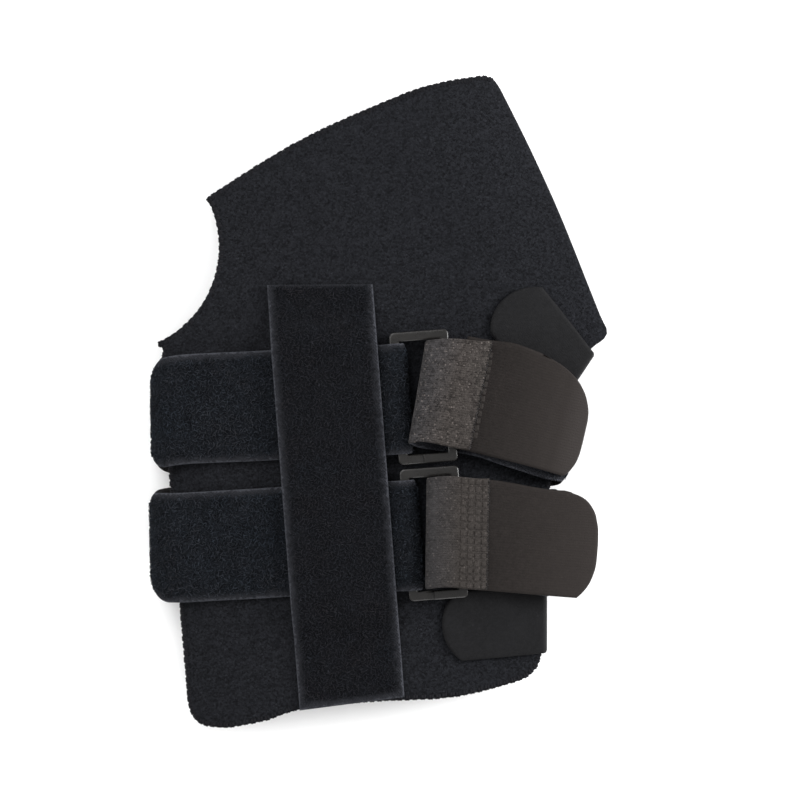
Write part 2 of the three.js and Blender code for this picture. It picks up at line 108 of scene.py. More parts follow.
# Hook tabs: where each starts under its strap's end and its heading; then tables of how far its end falls
# short across its width from the hem side to the foot side, of its height along its length, and of how far
# its hem and foot edges bow out along its length
HOOK_TABS = {
    "upper": {
        "start": (27.4, 0.8),
        "heading": -17.5,
        "end": (
            (-18.75, 4.2), (-17.4, 2.8), (-15.6, 1.7), (-13.9, 0.9), (-12, 0.4), (-8.5, 0.05), (-4, 0),
            (0.2, 0.05), (3.1, 0.4), (4.9, 0.9), (6.4, 1.6), (8, 2.4), (9.3, 3.2), (10.9, 4.5), (12.5, 6),
            (14.2, 8.2), (15.6, 10.5), (17, 13.5), (18.1, 17), (18.75, 20.5)),
        "heights": (
            (0, 22.1), (4, 21.6), (9, 20.75), (14, 20.35), (21, 20.3), (26, 20.2), (29.5, 20), (33, 19.7),
            (36, 19.2), (38.3, 18.85), (40.5, 18.1), (42, 17.4), (43.3, 16.6), (44.9, 15.5), (46.5, 14.2)),
        "bows": (
            (0, 0, 0.4), (4, 0, 0.6), (9, 0, 1.0), (16, 0.05, 1.65), (23.5, 0.2, 0.8), (28.5, 0.3, 0.05),
            (33, 0.45, 0), (42.5, 1.0, 0), (46.5, 1.1, 0)),
    },
    "lower": {
        "start": (27, -47.4),
        "heading": -9.3,
        "end": (
            (-18.75, 5.8), (-17.3, 4.4), (-15.8, 3.2), (-14.4, 2.3), (-13, 1.6), (-11.3, 1), (-9.9, 0.6),
            (-8.6, 0.3), (-6.5, 0.05), (-3, 0), (0.5, 0.05), (4.2, 0.3), (6.2, 0.6), (7.6, 1), (9.8, 1.6),
            (11.2, 2.3), (12.5, 3.2), (13.9, 4.4), (15, 5.8), (15.9, 7.4), (16.8, 9.2), (17.4, 10.2),
            (18.2, 11.2), (18.75, 13)),
        "heights": (
            (0, 22.1), (4, 21.6), (9, 20.75), (14, 20.3), (22, 20.2), (26.5, 20.1), (30.8, 19.9), (35, 19.6),
            (38.1, 19.35), (41.1, 19.05), (43.2, 18.75), (44.5, 18.55), (45.5, 18.4)),
        "bows": (
            (0, 0, 0), (9, 0, 0), (14, 0, -0.35), (25, 0, -1.4), (33, 0, -1.4), (34.5, 0, -1.1),
            (36.3, 0, -0.45), (38, 0, -0.1), (45.5, 0, 0)),
    },
}
# Closure tabs: tip, heading, length of the front leg, turn of the width at the slit
CLOSURE_TABS = {
    "upper": ((47.2, 31.5), -55, 36.3, 38.5),
    "lower": ((17, -79), 0, 34.4, 4.4),
}
CLOSURE_BACK_LEG = 12
# Studio lamps: name, place and size in metres, power in watts
LAMPS = (
    ("key", (1.1, 0.2, 0.5), 0.6, 26.0), ("fill", (-0.25, 0.5, 0.5), 0.5, 3.3),
    ("side", (-1.0, 0.2, 0.42), 0.6, 6.0), ("hem", (0.05, -1.0, 0.45), 0.6, 4.0),
)
WORLD_LIGHT = 0.7
CAMERA_PLACE = (0.0086, -0.0007, 0.708)
CAMERA_TURN = -math.radians(4.4)
CAMERA_ANGLE = 2 * math.atan(0.138 / 0.7)


def measure(name, description, default):
    """A length property in metres."""
    return FloatProperty(
        name=name, description=description, default=default, min=0, precision=4, unit="LENGTH")


class BraceSizes(bpy.types.PropertyGroup):
    """Sizes of the brace's pieces."""

    neoprene: measure("Neoprene", "Thickness of the sleeve's wall", 0.003)
    strap_width: measure("Strap width", "Width of the pile straps", 0.0375)
    strap_thick: measure("Strap thickness", "Thickness of a strap over its pile", 0.0015)
    strip_width: measure("Strip width", "Width of the pile strip across the straps", 0.036)
    selvedge: measure("Selvedge", "Width of the bare woven edge of the pile tapes", 0.0022)
    ring_width: measure("Ring width", "Length of a ring's end bars", RING_HIGH.x - RING_LOW.x)
    ring_height: measure("Ring height", "Length of a ring's side bars", RING_HIGH.y - RING_LOW.y)
    ring_thick: measure("Ring thickness", "Thickness of a ring's plate", RING_HIGH.z - RING_LOW.z)
    hook_width: measure("Hook tab width", "Width of the hook tabs on the straps' ends", 0.0375)
    closure_width: measure("Closure tab width", "Width of the tabs that close the slit", 0.024)
    tab_thick: measure("Tab thickness", "Thickness of the hook and closure tabs", 0.0012)
    stitch_pitch: measure("Overlock pitch", "Distance between overlock stitches on the open edges", 0.0024)
    seam_pitch: measure("Seam pitch", "Distance between overlock stitches on the sewn side seam", 0.0023)


def colour(name, description, default):
    """A linear colour property."""
    return FloatVectorProperty(
        name=name, description=description, default=default, size=3, min=0, max=1, subtype="COLOR")


class BraceColours(bpy.types.PropertyGroup):
    """Colours of the brace's finishes."""

    cloth: colour("Cloth", "Knit face of the neoprene", (0.0090, 0.0095, 0.0113))
    thread: colour("Thread", "Overlock and sewing thread", (0.0098, 0.0098, 0.0114))
    pile: colour("Pile", "Loop pile of the straps", (0.0124, 0.0145, 0.0183))
    strip: colour("Strip pile", "Loop pile of the strip across the straps", (0.0098, 0.0104, 0.0127))
    selvedge: colour("Selvedge", "Woven edge of the pile tapes", (0.0165, 0.0172, 0.0202))
    backing: colour("Backing", "Woven back of the straps' folded ends", (0.0315, 0.0275, 0.0252))
    hook: colour("Hook tape", "Ribbed back of the hook tabs", (0.0128, 0.0109, 0.0102))
    closure: colour("Closure tape", "Back of the closure tabs", (0.0078, 0.0078, 0.0084))
    metal: colour("Ring metal", "Painted metal of the rings", (0.0082, 0.0075, 0.0070))
    floor: colour("Floor", "Studio floor", (0.95, 0.95, 0.95))


def lerp(a, b, t):
    return a + (b - a) * t


def smoothstep(low, high, x):
    t = min(1.0, max(0.0, (x - low) / (high - low)))
    return t * t * (3 - 2 * t)


def cubic(table, at):
    """Row of values at a place in a table of (place, values...), by a cubic through the neighbours."""
    places = [row[0] for row in table]
    k = min(max(bisect_right(places, at), 1), len(table) - 1)
    t0, t1 = places[k - 1], places[k]
    before = table[k - 2] if k > 1 else table[k]
    after = table[k + 1] if k + 1 < len(table) else table[k - 1]
    half = (t1 - t0) / 2
    w_before = half / (t0 - before[0])
    w_after = half / (after[0] - t1)
    p = (at - t0) / (t1 - t0)
    weights = (
        w_before * (-p**3 + 2 * p**2 - p),
        (1 + w_before) * p**3 - (1.5 + 2 * w_before) * p**2 + (w_before - 0.5) * p + 1,
        -(1 + w_after) * p**3 + (1.5 + w_after) * p**2 + 0.5 * p,
        w_after * (p**3 - p**2),
    )
    rows = (before, table[k - 1], table[k], after)
    return [sum(w * row[c] for w, row in zip(weights, rows)) for c in range(1, len(table[0]))]


def front_z(x, y):
    """Height of the sleeve's front."""
    left, right, crest, _, l_top, _, r_top, _ = cubic(SECTIONS, y)
    share = (x - left) / (right - left)
    edge = lerp(l_top, r_top, min(1, max(0, share)))
    return lerp(edge, crest, 1 - min(1, abs(2 * share - 1)) ** 2.6)


def back_z(x, y):
    """Height of the sleeve's back."""
    left, right, _, back, _, l_back, _, r_back = cubic(SECTIONS, y)
    share = (x - left) / (right - left)
    edge = lerp(l_back, r_back, min(1, max(0, share)))
    return lerp(edge, back, 1 - min(1, abs(2 * share - 1)) ** 3)


def bezier(a, b, c, d, steps):
    a, b, c, d = (Vector(p) for p in (a, b, c, d))
    return [
        a * (1 - t) ** 3 + b * 3 * t * (1 - t) ** 2 + c * 3 * t**2 * (1 - t) + d * t**3
        for t in (k / steps for k in range(steps + 1))
    ]


def spline(points, steps):
    """Smooth line through points."""
    points = [Vector(p) for p in points]
    line = []
    for k in range(len(points) - 1):
        p0, p1, p2 = points[max(k - 1, 0)], points[k], points[k + 1]
        p3 = points[min(k + 2, len(points) - 1)]
        line += bezier(p1, p1 + (p2 - p0) / 6, p2 - (p3 - p1) / 6, p2, steps)[:-1]
    return line + [points[-1]]


def outline():
    """Outline of the lying sleeve, anticlockwise from the lower end of its left seam."""
    notch, radius = Vector((-84.7, 59.1)), 35.6
    arc = [
        notch + radius * Vector((math.cos(a), math.sin(a)))
        for a in (math.radians(lerp(23.6, -69.7, k / 40)) for k in range(41))
    ]
    stretches = (
        bezier((-72.2, -98), (-71.8, -104.5), (-70.6, -107.8), (-59, -108.3), 16),
        spline(((-59, -108.3), (-46, -106.6), (-33.6, -103.6), (-11.7, -102.6), (12.4, -103.4),
                (25.2, -102.8), (39.6, -100.3)), 12),
        bezier((39.6, -100.3), (45.6, -99.5), (50.4, -96), (50.3, -89.4), 16),
        spline(((50.3, -89.4), (50.9, -73.3), (54.6, -46), (58.4, -31), (59.8, -18), (61.2, -9),
                (66.6, 1.6)), 12),
        [Vector((66.6, 1.6)), Vector((73.9, 10.4)), Vector((77, 13))],
        bezier((77, 13), (80.6, 14.6), (82.6, 16.2), (81.2, 19.4), 16),
        [Vector((81.2, 19.4)), Vector((80.5, 21.2)), Vector((79.8, 23))],
        spline(((79.8, 23), (69.3, 57), (60.3, 82), (51.8, 103)), 14),
        bezier((51.8, 103), (50.2, 106.8), (48.6, 108.8), (44, 108.3), 16),
        spline(((44, 108.3), (30.7, 106.6), (16.6, 103.2), (-19, 90.4), (-51.4, 74.2)), 14),
        arc,
        spline(((-72.3, 25.6), (-71.5, 23), (-71.9, 21), (-72.8, 18.6), (-72.8, 12)), 6),
        [Vector((-72.6, -60)), Vector((-72.2, -98))],
    )
    line = []
    for stretch in stretches:
        for point in stretch:
            if not line or (point - line[-1]).length > 0.01:
                line.append(point)
    return line[:-1]


def along_line(line, count):
    """Points at even distances along a line."""
    reach = [0.0]
    for a, b in zip(line, line[1:]):
        reach.append(reach[-1] + (b - a).length)
    points = []
    for k in range(count + 1):
        at = reach[-1] * k / count
        i = min(max(bisect_right(reach, at), 1), len(line) - 1)
        points.append(line[i - 1].lerp(line[i], (at - reach[i - 1]) / (reach[i] - reach[i - 1])))
    return points


def outward(line):
    """Way out of a closed anticlockwise line at each of its points."""
    count = len(line)
    ways = []
    for k, _ in enumerate(line):
        along = (line[(k + 1) % count] - line[k - 1]).normalized()
        ways.append(Vector((along.y, -along.x)))
    return ways


def collection_object(name, bm, materials, sharp=None):
    """A smooth object in metres from a bmesh in mm, which it uses up."""
    bmesh.ops.scale(bm, vec=(MM, MM, MM), verts=bm.verts)
    for face in bm.faces:
        face.smooth = True
    mesh = bpy.data.meshes.new(name)
    bm.to_mesh(mesh)
    bm.free()
    if sharp is not None:
        mesh.set_sharp_from_angle(angle=math.radians(sharp))
    for material in materials:
        mesh.materials.append(material)
    piece = bpy.data.objects.new(name, mesh)
    bpy.context.scene.collection.objects.link(piece)
    return piece


def dressed(piece, slot, *nodes):
    """Sets a piece on the brace's body and hides the nodes it stands for; slot is not used."""
    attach(piece, "root")
    if nodes:
        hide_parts(*nodes)
    return piece


def need(condition, message):
    if not condition:
        raise RuntimeError(message)


# Sleeve

PANEL_COLUMNS, PANEL_ROWS = 100, 132
RIM_BULGE = 0.7
LINING_GAP = 0.15


def panel_plan():
    """Plan of the panels as rows of points from hem to foot, and the line of their edge."""
    edge = outline()
    ways = outward(edge)
    inner = [point - way * RIM_BULGE for point, way in zip(edge, ways)]
    corners = [
        min(range(len(edge)), key=lambda k: (edge[k] - Vector(c)).length)
        for c in ((-69.8, -105.2), (48.6, -95.6), (50.2, 106.8), (-51.4, 74.2))
    ]
    sides = []
    for a, b in zip(corners, corners[1:] + corners[:1]):
        side = inner[a:b + 1] if b > a else inner[a:] + inner[:b + 1]
        sides.append(side)
    hem = along_line(sides[0], PANEL_COLUMNS)
    right = along_line(sides[1], PANEL_ROWS)
    foot = along_line(sides[2][::-1], PANEL_COLUMNS)
    left = along_line(sides[3][::-1], PANEL_ROWS)
    plan = []
    for j in range(PANEL_ROWS + 1):
        v = j / PANEL_ROWS
        row = []
        for i in range(PANEL_COLUMNS + 1):
            u = i / PANEL_COLUMNS
            row.append(
                hem[i] * (1 - v) + foot[i] * v + left[j] * (1 - u) + right[j] * u
                - (hem[0] * (1 - u) + hem[-1] * u) * (1 - v) - (foot[0] * (1 - u) + foot[-1] * u) * v)
        plan.append(row)
    return relaxed(plan), edge


def relaxed(plan, passes=60):
    """Plan with its points inside the edge evened out, so that no row folds at a corner."""
    bm = bmesh.new()
    made = bmesh.ops.create_grid(bm, x_segments=PANEL_COLUMNS, y_segments=PANEL_ROWS, size=0.5)["verts"]
    spots = {}
    for vert in made:
        i = round((vert.co.x + 0.5) * PANEL_COLUMNS)
        j = round((vert.co.y + 0.5) * PANEL_ROWS)
        vert.co = plan[j][i].to_3d()
        spots[i, j] = vert
    inside = [vert for vert in made if not vert.is_boundary]
    for _ in range(passes):
        bmesh.ops.smooth_vert(bm, verts=inside, factor=0.5, use_axis_x=True, use_axis_y=True)
    plan = [[spots[i, j].co.to_2d() for i in range(PANEL_COLUMNS + 1)] for j in range(PANEL_ROWS + 1)]
    bm.free()
    return plan


def joined(point):
    """Whether the two panels are joined at a point of their edge."""
    seam = point.x < -70 and point.y < 19.5
    fold = point.x > 49 and point.y > 19.5 and point.y < 107
    return seam or fold


def sleeve_mesh(neoprene):
    """Two panels of neoprene round a flat hollow, joined along the left seam and the upper right fold."""
    plan, edge = panel_plan()
    tree = kdtree.KDTree(len(edge) * 4)
    for k, point in enumerate(along_line(edge + edge[:1], len(edge) * 4 - 1)):
        tree.insert(point.to_3d(), k)
    tree.balance()
    bm = bmesh.new()
    shells = []
    for shell in range(4):
        made = bmesh.ops.create_grid(bm, x_segments=PANEL_COLUMNS, y_segments=PANEL_ROWS, size=0.5)
        grid = {}
        for vert in made["verts"]:
            i = round((vert.co.x + 0.5) * PANEL_COLUMNS)
            j = round((vert.co.y + 0.5) * PANEL_ROWS)
            x, y = plan[j][i]
            high, low = front_z(x, y), back_z(x, y)
            wall = min(neoprene, (high - low) / 2 - LINING_GAP)
            to_edge = tree.find(Vector((x, y, 0)))[2]
            dip = 0.55 * max(0.0, 1 - to_edge / 3.2) ** 2
            swell = 0.16 * noise.noise(Vector((x / 26, y / 26, 3.1 + 5 * (shell > 1))))
            swell *= smoothstep(44, 60, y) + smoothstep(-84, -92, y)
            z = (high - dip + swell, high - wall + swell, low + wall, low + dip)[shell]
            vert.co = (x, y, z)
            grid[i, j] = vert
        shells.append(grid)
    close_rims(bm, shells)
    bmesh.ops.recalc_face_normals(bm, faces=bm.faces)
    return bm


def close_rims(bm, shells):
    """Joins the four shells of the sleeve along their edges with rounded rims."""
    columns, rows = PANEL_COLUMNS, PANEL_ROWS
    border = (
        [(i, 0) for i in range(columns)] + [(columns, j) for j in range(rows)]
        + [(i, rows) for i in range(columns, 0, -1)] + [(0, j) for j in range(rows, 0, -1)])
    count = len(border)
    spots = [shells[0][spot].co.to_2d() for spot in border]
    stacks = [sorted(shell[spot].co.z for shell in shells) for spot in border]
    tied = [joined((spots[k] + spots[(k + 1) % count]) / 2) for k in range(count)]
    start = next(k for k in range(count) if tied[k] != tied[k - 1])
    chains = []
    for step in range(count):
        k = (start + step) % count
        if step == 0 or tied[k] != tied[k - 1]:
            chains.append((tied[k], []))
        chains[-1][1].append((border[k], border[(k + 1) % count]))
    cross = []
    for tie, pairs in chains:
        for a, b in ((0, 3), (1, 2)) if tie else ((0, 1), (3, 2)):
            edges = [bm.edges.get((shells[s][p], shells[s][q])) for s in (a, b) for p, q in pairs]
            made = bmesh.ops.bridge_loops(bm, edges=edges)
            ring = set(edges)
            links = {e for face in made["faces"] for e in face.edges} - ring
            if not (tie and a == 1):
                cross += links
    new = bmesh.ops.subdivide_edges(bm, edges=list(set(cross)), cuts=3, use_grid_fill=True)
    inner = {v for v in new["geom_inner"] if isinstance(v, bmesh.types.BMVert)}
    ways = outward(spots)
    tree = kdtree.KDTree(count)
    for k, spot in enumerate(spots):
        tree.insert(spot.to_3d(), k)
    tree.balance()
    for vert in inner:
        _, k, _ = tree.find(Vector((vert.co.x, vert.co.y, 0)))
        levels = stacks[k]
        low, high = (levels[0], levels[3]) if tied[k] else (
            (levels[0], levels[1]) if vert.co.z < (levels[1] + levels[2]) / 2 else (levels[2], levels[3]))
        share = (vert.co.z - low) / max(high - low, 1e-6)
        push = RIM_BULGE * math.sqrt(max(0.0, 1 - (2 * share - 1) ** 2))
        vert.co += (ways[k] * push).to_3d()
    bmesh.ops.holes_fill(bm, edges=[e for e in bm.edges if e.is_boundary], sides=0)


def threads_mesh(paths, radius, sides, tones=None):
    """Short threads, each along its own path of equal count, marked with its own tone."""
    steps = len(paths[0])
    bm = bmesh.new()
    mark = bm.verts.layers.float.new("tone")
    made = bmesh.ops.create_grid(bm, x_segments=sides, y_segments=len(paths) * steps - 1, size=0.5)["verts"]
    which = {}
    for vert in made:
        row = round((vert.co.y + 0.5) * (len(paths) * steps - 1))
        path, k = paths[row // steps], row % steps
        along = (path[min(k + 1, steps - 1)] - path[max(k - 1, 0)]).normalized()
        side = along.orthogonal().normalized()
        turn = 2 * math.pi * (vert.co.x + 0.5)
        vert.co = path[k] + radius * (side * math.cos(turn) + along.cross(side) * math.sin(turn))
        which[vert] = row // steps
        vert[mark] = tones[row // steps] if tones else 0.5
    between = [face for face in bm.faces if len({which[vert] for vert in face.verts}) > 1]
    bmesh.ops.delete(bm, geom=between, context="FACES")
    bmesh.ops.remove_doubles(bm, verts=bm.verts, dist=1e-4)
    bmesh.ops.holes_fill(bm, edges=[e for e in bm.edges if e.is_boundary], sides=0)
    bmesh.ops.recalc_face_normals(bm, faces=bm.faces)
    return bm


def overlock_mesh(neoprene, open_pitch, seam_pitch, radius=0.5):
    """Overlock stitches of paired threads over the sleeve's open edges and its sewn left seam."""
    draw = random.Random(11)
    edge = outline()
    dense = along_line(edge + edge[:1], 6000)[:-1]
    ways = outward(dense)
    step = (dense[1] - dense[0]).length
    wait, paths = 0.0, []

    def wrap(point, way, slant, proud, top, bottom):
        along = Vector((-way.y, way.x)) * slant
        path = []
        for level in (1.2, 1.0, 0.72, 0.28, 0.0, -0.2):
            bulge = math.sqrt(max(0.0, 1 - (2 * level - 1) ** 2)) if 0 <= level <= 1 else -1.2
            spot = point - way * (RIM_BULGE * (1 - bulge) + radius - proud) + along * (level - 0.5)
            high, low = top(*spot) - radius + 0.05, bottom(*spot) + radius - 0.05
            path.append(Vector((spot.x, spot.y, lerp(low, high, min(1.0, max(0.0, level))))))
        paths.append(path)

    for point, way in zip(dense, ways):
        wait -= step
        if wait > 0:
            continue
        seam = point.x < -70 and point.y < 19.5
        wait = (seam_pitch if seam else open_pitch) * draw.uniform(0.9, 1.1)
        if point.x > 74 or joined(point) and not seam:
            continue
        slant = draw.uniform(0.3, 0.8)
        proud = draw.uniform(0.34, 0.52) if seam else draw.uniform(0.26, 0.42)
        for beside in (-0.4, 0.4):
            spot = point + Vector((-way.y, way.x)) * beside
            if seam:
                wrap(spot, way, slant, proud, front_z, back_z)
            else:
                wrap(spot, way, slant, proud, front_z, lambda x, y: front_z(x, y) - neoprene)
                wrap(spot, way, slant, proud, lambda x, y: back_z(x, y) + neoprene, back_z)
    return threads_mesh(paths, radius, 6)


# Tapes

LOOP_RADIUS, FRINGE_RADIUS = 0.14, 0.17
# A pressed tape's first end counts as this much further out, so that only a thin line of it is bare
PALE_END = 1.7
# Bare length at a pile tape's first end
START_BAND = 0.6

def tape_mesh(middle, width, outer, inner, columns, pressed_end=False):
    """A closed ribbon. middle gives for each row and column the place and the distance along; outer and
    inner give the heights of its two faces over the middle, from the distances along, across, from the
    nearest edge or end and from the nearest selvedge or pressed end."""
    rows = len(middle)
    around = 2 * columns + 4
    bm = bmesh.new()
    mark = bm.verts.layers.float_vector.new("tape")
    side = bm.verts.layers.float.new("side")
    made = bmesh.ops.create_grid(bm, x_segments=rows - 1, y_segments=around, size=0.5)
    normals = tape_normals(middle)
    for vert in made["verts"]:
        i = round((vert.co.x + 0.5) * (rows - 1))
        j = round((vert.co.y + 0.5) * around) % around
        if j <= columns:
            column, face = j, 1
        elif j == columns + 1:
            column, face = columns, 0
        elif j <= 2 * columns + 2:
            column, face = 2 * columns + 2 - j, -1
        else:
            column, face = 0, 0
        place, along = middle[i][column]
        across = width * (column / columns - 0.5)
        start = middle[0][column][1]
        finish = middle[-1][column][1]
        selvedge = width / 2 - abs(across)
        rim = min(selvedge, along - start, finish - along)
        if pressed_end:
            selvedge = min(selvedge, finish - along, along - start + PALE_END)
        top, bottom = outer(along, across, rim, selvedge), inner(along, across, rim, selvedge)
        level = {1: top, 0: (top + bottom) / 2, -1: bottom}[face]
        vert.co = place + normals[i][column] * level
        vert[mark] = Vector((along, across, selvedge)) * MM
        vert[side] = face
    bmesh.ops.remove_doubles(bm, verts=bm.verts, dist=1e-4)
    ends = bmesh.ops.holes_fill(bm, edges=[e for e in bm.edges if e.is_boundary], sides=0)["faces"]
    bmesh.ops.triangulate(bm, faces=ends)
    bmesh.ops.recalc_face_normals(bm, faces=bm.faces)
    for face in bm.faces:
        face.material_index = 0 if sum(v[side] for v in face.verts) > 0 else 1
    return bm


def tape_normals(middle):
    """Way off the outer face of a tape at each row and column."""
    rows, columns = len(middle), len(middle[0])
    normals = []
    for i in range(rows):
        row = []
        for j in range(columns):
            along = middle[min(i + 1, rows - 1)][j][0] - middle[max(i - 1, 0)][j][0]
            across = middle[i][min(j + 1, columns - 1)][0] - middle[i][max(j - 1, 0)][0]
            row.append(across.cross(along).normalized())
        normals.append(row)
    return normals


def eased(values, reach, passes=2):
    """Values with their corners eased by running means."""
    for _ in range(passes):
        count = len(values)
        values = [
            sum(values[max(0, k - reach):k + reach + 1]) / len(values[max(0, k - reach):k + reach + 1])
            for k in range(count)
        ]
    return values


def half_chord(radius, distance):
    """Half chord of a circle at a distance inside its edge."""
    inside = min(max(distance, 0.0), radius)
    return math.sqrt(2 * radius * inside - inside**2)


def strap_stretches(strap, ring_side):
    """The strap's stretches from its end under the ring: points in XZ, the y, the skew and the trim of its
    hem edge where each ends, and its rounded corners."""
    left, right, fold, end = strap["left"], strap["right"], strap["fold"], strap["end"]
    ring_y = strap["ring_y"]
    bar = RING_X - 10 + ring_side / 2
    nose = ring_side / 2 + GAP + 0.75 + 0.8
    far_bar = RING_X + 10
    run_z, right_y, run_skew = right["run_z"], right["y"], right["run_skew"]

    def line(a, b):
        return [Vector(a).lerp(Vector(b), k / 20) for k in range(21)]

    def bend(*points):
        return bezier(*points, 20)

    def turn(x, low, high, reach, first, last):
        return [
            Vector((x + reach * math.cos(a), (low + high) / 2 + (high - low) / 2 * math.sin(a)))
            for a in (math.radians(lerp(first, last, k / 40)) for k in range(41))
        ]

    return (
        (line((-24, RUN_Z), (bar, RUN_Z)), ring_y, 0, 0, None),
        (turn(bar, RUN_Z, OVER_BAR_Z, nose, -90, 90), ring_y, 0, 0, None),
        (bend((bar, OVER_BAR_Z), (4.4, OVER_BAR_Z), (5.4, DOUBLED_Z), (0.2, DOUBLED_Z)), ring_y, 0, 0, None),
        (line((0.2, DOUBLED_Z), (-25, DOUBLED_Z)), left["run_y"], 0, 0, None),
        (bend((-25, DOUBLED_Z), (-30, DOUBLED_Z), (-32, RUN_Z), (-38, RUN_Z)), left["run_y"], 0, 0, None),
        (bend((-38, RUN_Z), (-48, RUN_Z), (-56, left["z"]), (left["x"], left["z"])),
         left["y"], left["run_skew"], 0, None),
        (turn(left["x"], FLOOR_Z, left["z"], left["reach"], 90, 270), left["back_y"], left["skew"], 0, left),
        (line((left["x"], FLOOR_Z), (right["x"], FLOOR_Z)), right["back_y"], right["skew"], 0, None),
        (turn(right["x"], FLOOR_Z, right["z"], right["reach"], -90, 90), right_y, run_skew,
         right["trim"], right),
        (bend((right["x"], right["z"]), (55, right["z"]), (50, run_z), (44, run_z)),
         lerp(right_y, ring_y, right["shares"][0]), run_skew, right["trim"], None),
        (line((44, run_z), (36, run_z)), lerp(right_y, ring_y, right["shares"][1]), lerp(run_skew, 6, 0.5),
         right["trim"], None),
        (bend((36, run_z), (32, run_z), (31, RUN_Z), (far_bar, RUN_Z)), lerp(right_y, ring_y, 0.94),
         lerp(run_skew, 6, 0.85), 0, None),
        (line((far_bar, RUN_Z), (23.4, RUN_Z)), ring_y, 6, 0, None),
        (bend((23.4, RUN_Z), (19, RUN_Z), (15.9, 20.5), (15.4, 22.8)),
         ring_y, fold["rise_skew"], fold["trim"], None),
        (bend((15.4, 22.8), (fold["x"], 24.8), (fold["x"] + 1.4, 25.7), (19, 25.5)),
         fold["y"], fold["skew"], 0.8 * fold["trim"], None),
        (bend((19, 25.5), (25, 25), (30, 23.9), (end["x"], end["z"])), end["y"], end["skew"], 0, None),
    )


def strap_middle(strap, width, columns, pitch=0.62, hidden_pitch=2.0):
    """Middle surface of a strap, finer where it shows than where it lies on the floor."""
    places, skews, trims = [], [], []
    y, skew, draw_in = strap["ring_y"], 0, 0
    for points, to_y, to_skew, to_draw_in, corners in strap_stretches(strap, 3.0):
        last = len(points) - 1
        for k, point in enumerate(points):
            if k == 0 and places:
                continue
            share = k / last
            places.append(Vector((point.x, lerp(y, to_y, share), point.y)))
            skews.append(lerp(skew, to_skew, share))
            trim = [lerp(draw_in, to_draw_in, share), 0.0]
            if corners:
                inside = corners["reach"] - abs(point.x - corners["x"])
                trim = [
                    drawn + radius - half_chord(radius, inside)
                    for drawn, radius in zip(trim, (corners["hem_corner"], corners["foot_corner"]))]
            trims.append(trim)
        y, skew, draw_in = to_y, to_skew, to_draw_in
    reach = [0.0]
    for a, b in zip(places, places[1:]):
        reach.append(reach[-1] + (b - a).length)

    def between(values, distance):
        k = min(max(bisect_right(reach, distance), 1), len(reach) - 1)
        t = (distance - reach[k - 1]) / (reach[k] - reach[k - 1])
        return lerp(values[k - 1], values[k], t)

    samples = 900
    along = [reach[-1] * k / samples for k in range(samples + 1)]
    ys = eased([between(places, d).y for d in along], 9)
    turns = eased([between(skews, d) for d in along], 9)
    hem, foot = ([between([trim[side] for trim in trims], d) for d in along] for side in (0, 1))
    distances, distance = [], 0.0
    while distance < reach[-1]:
        distances.append(distance)
        distance += hidden_pitch if between(places, distance).z < 1.2 else pitch
    distances.append(reach[-1])
    middle = []
    for distance in distances:
        where = distance / reach[-1] * samples
        k = min(int(where), samples - 1)
        y, skew, low, high = (lerp(values[k], values[k + 1], where - k) for values in (ys, turns, hem, foot))
        place = between(places, distance)
        place = Vector((place.x, y, place.z))
        across = Vector((math.sin(math.radians(skew)), math.cos(math.radians(skew)), 0))
        middle.append([
            (place + across * lerp(low - width / 2, width / 2 - high, j / columns), distance)
            for j in range(columns + 1)])
    return middle


def pile_face(thick, selvedge, seed):
    """Height of a pile face over the middle of its tape: matted loops between two bare selvedges."""
    ground, top = thick * 0.08, thick * 0.3

    def height(along, across, rim, to_selvedge):
        spot = Vector((along, across, seed))
        fray = 0.5 * noise.noise(spot / 1.7)
        stands = smoothstep(selvedge - 1.2, selvedge + 1.0, to_selvedge + fray)
        loops = 0.16 * noise.noise(spot / 1.3) + 0.1 * noise.noise(spot / 0.7 + Vector((9, 4, 2)))
        clumps = 0.1 * noise.noise(spot / 4.5)
        rounding = 0.42 * max(0.0, 1 - rim / 0.7) ** 2
        return ground + stands * (top - ground + loops + clumps) - rounding

    return height


def plain_face(level, ripple=0.03, seed=0.0):
    """Height of a woven face over the middle of its tape, rounded at its edges."""

    def height(along, across, rim, to_selvedge):
        spot = Vector((along, across, seed))
        rounding = 0.3 * max(0.0, 1 - rim / 0.7) ** 2
        return level - math.copysign(rounding, level) + ripple * noise.noise(spot / 3)

    return height


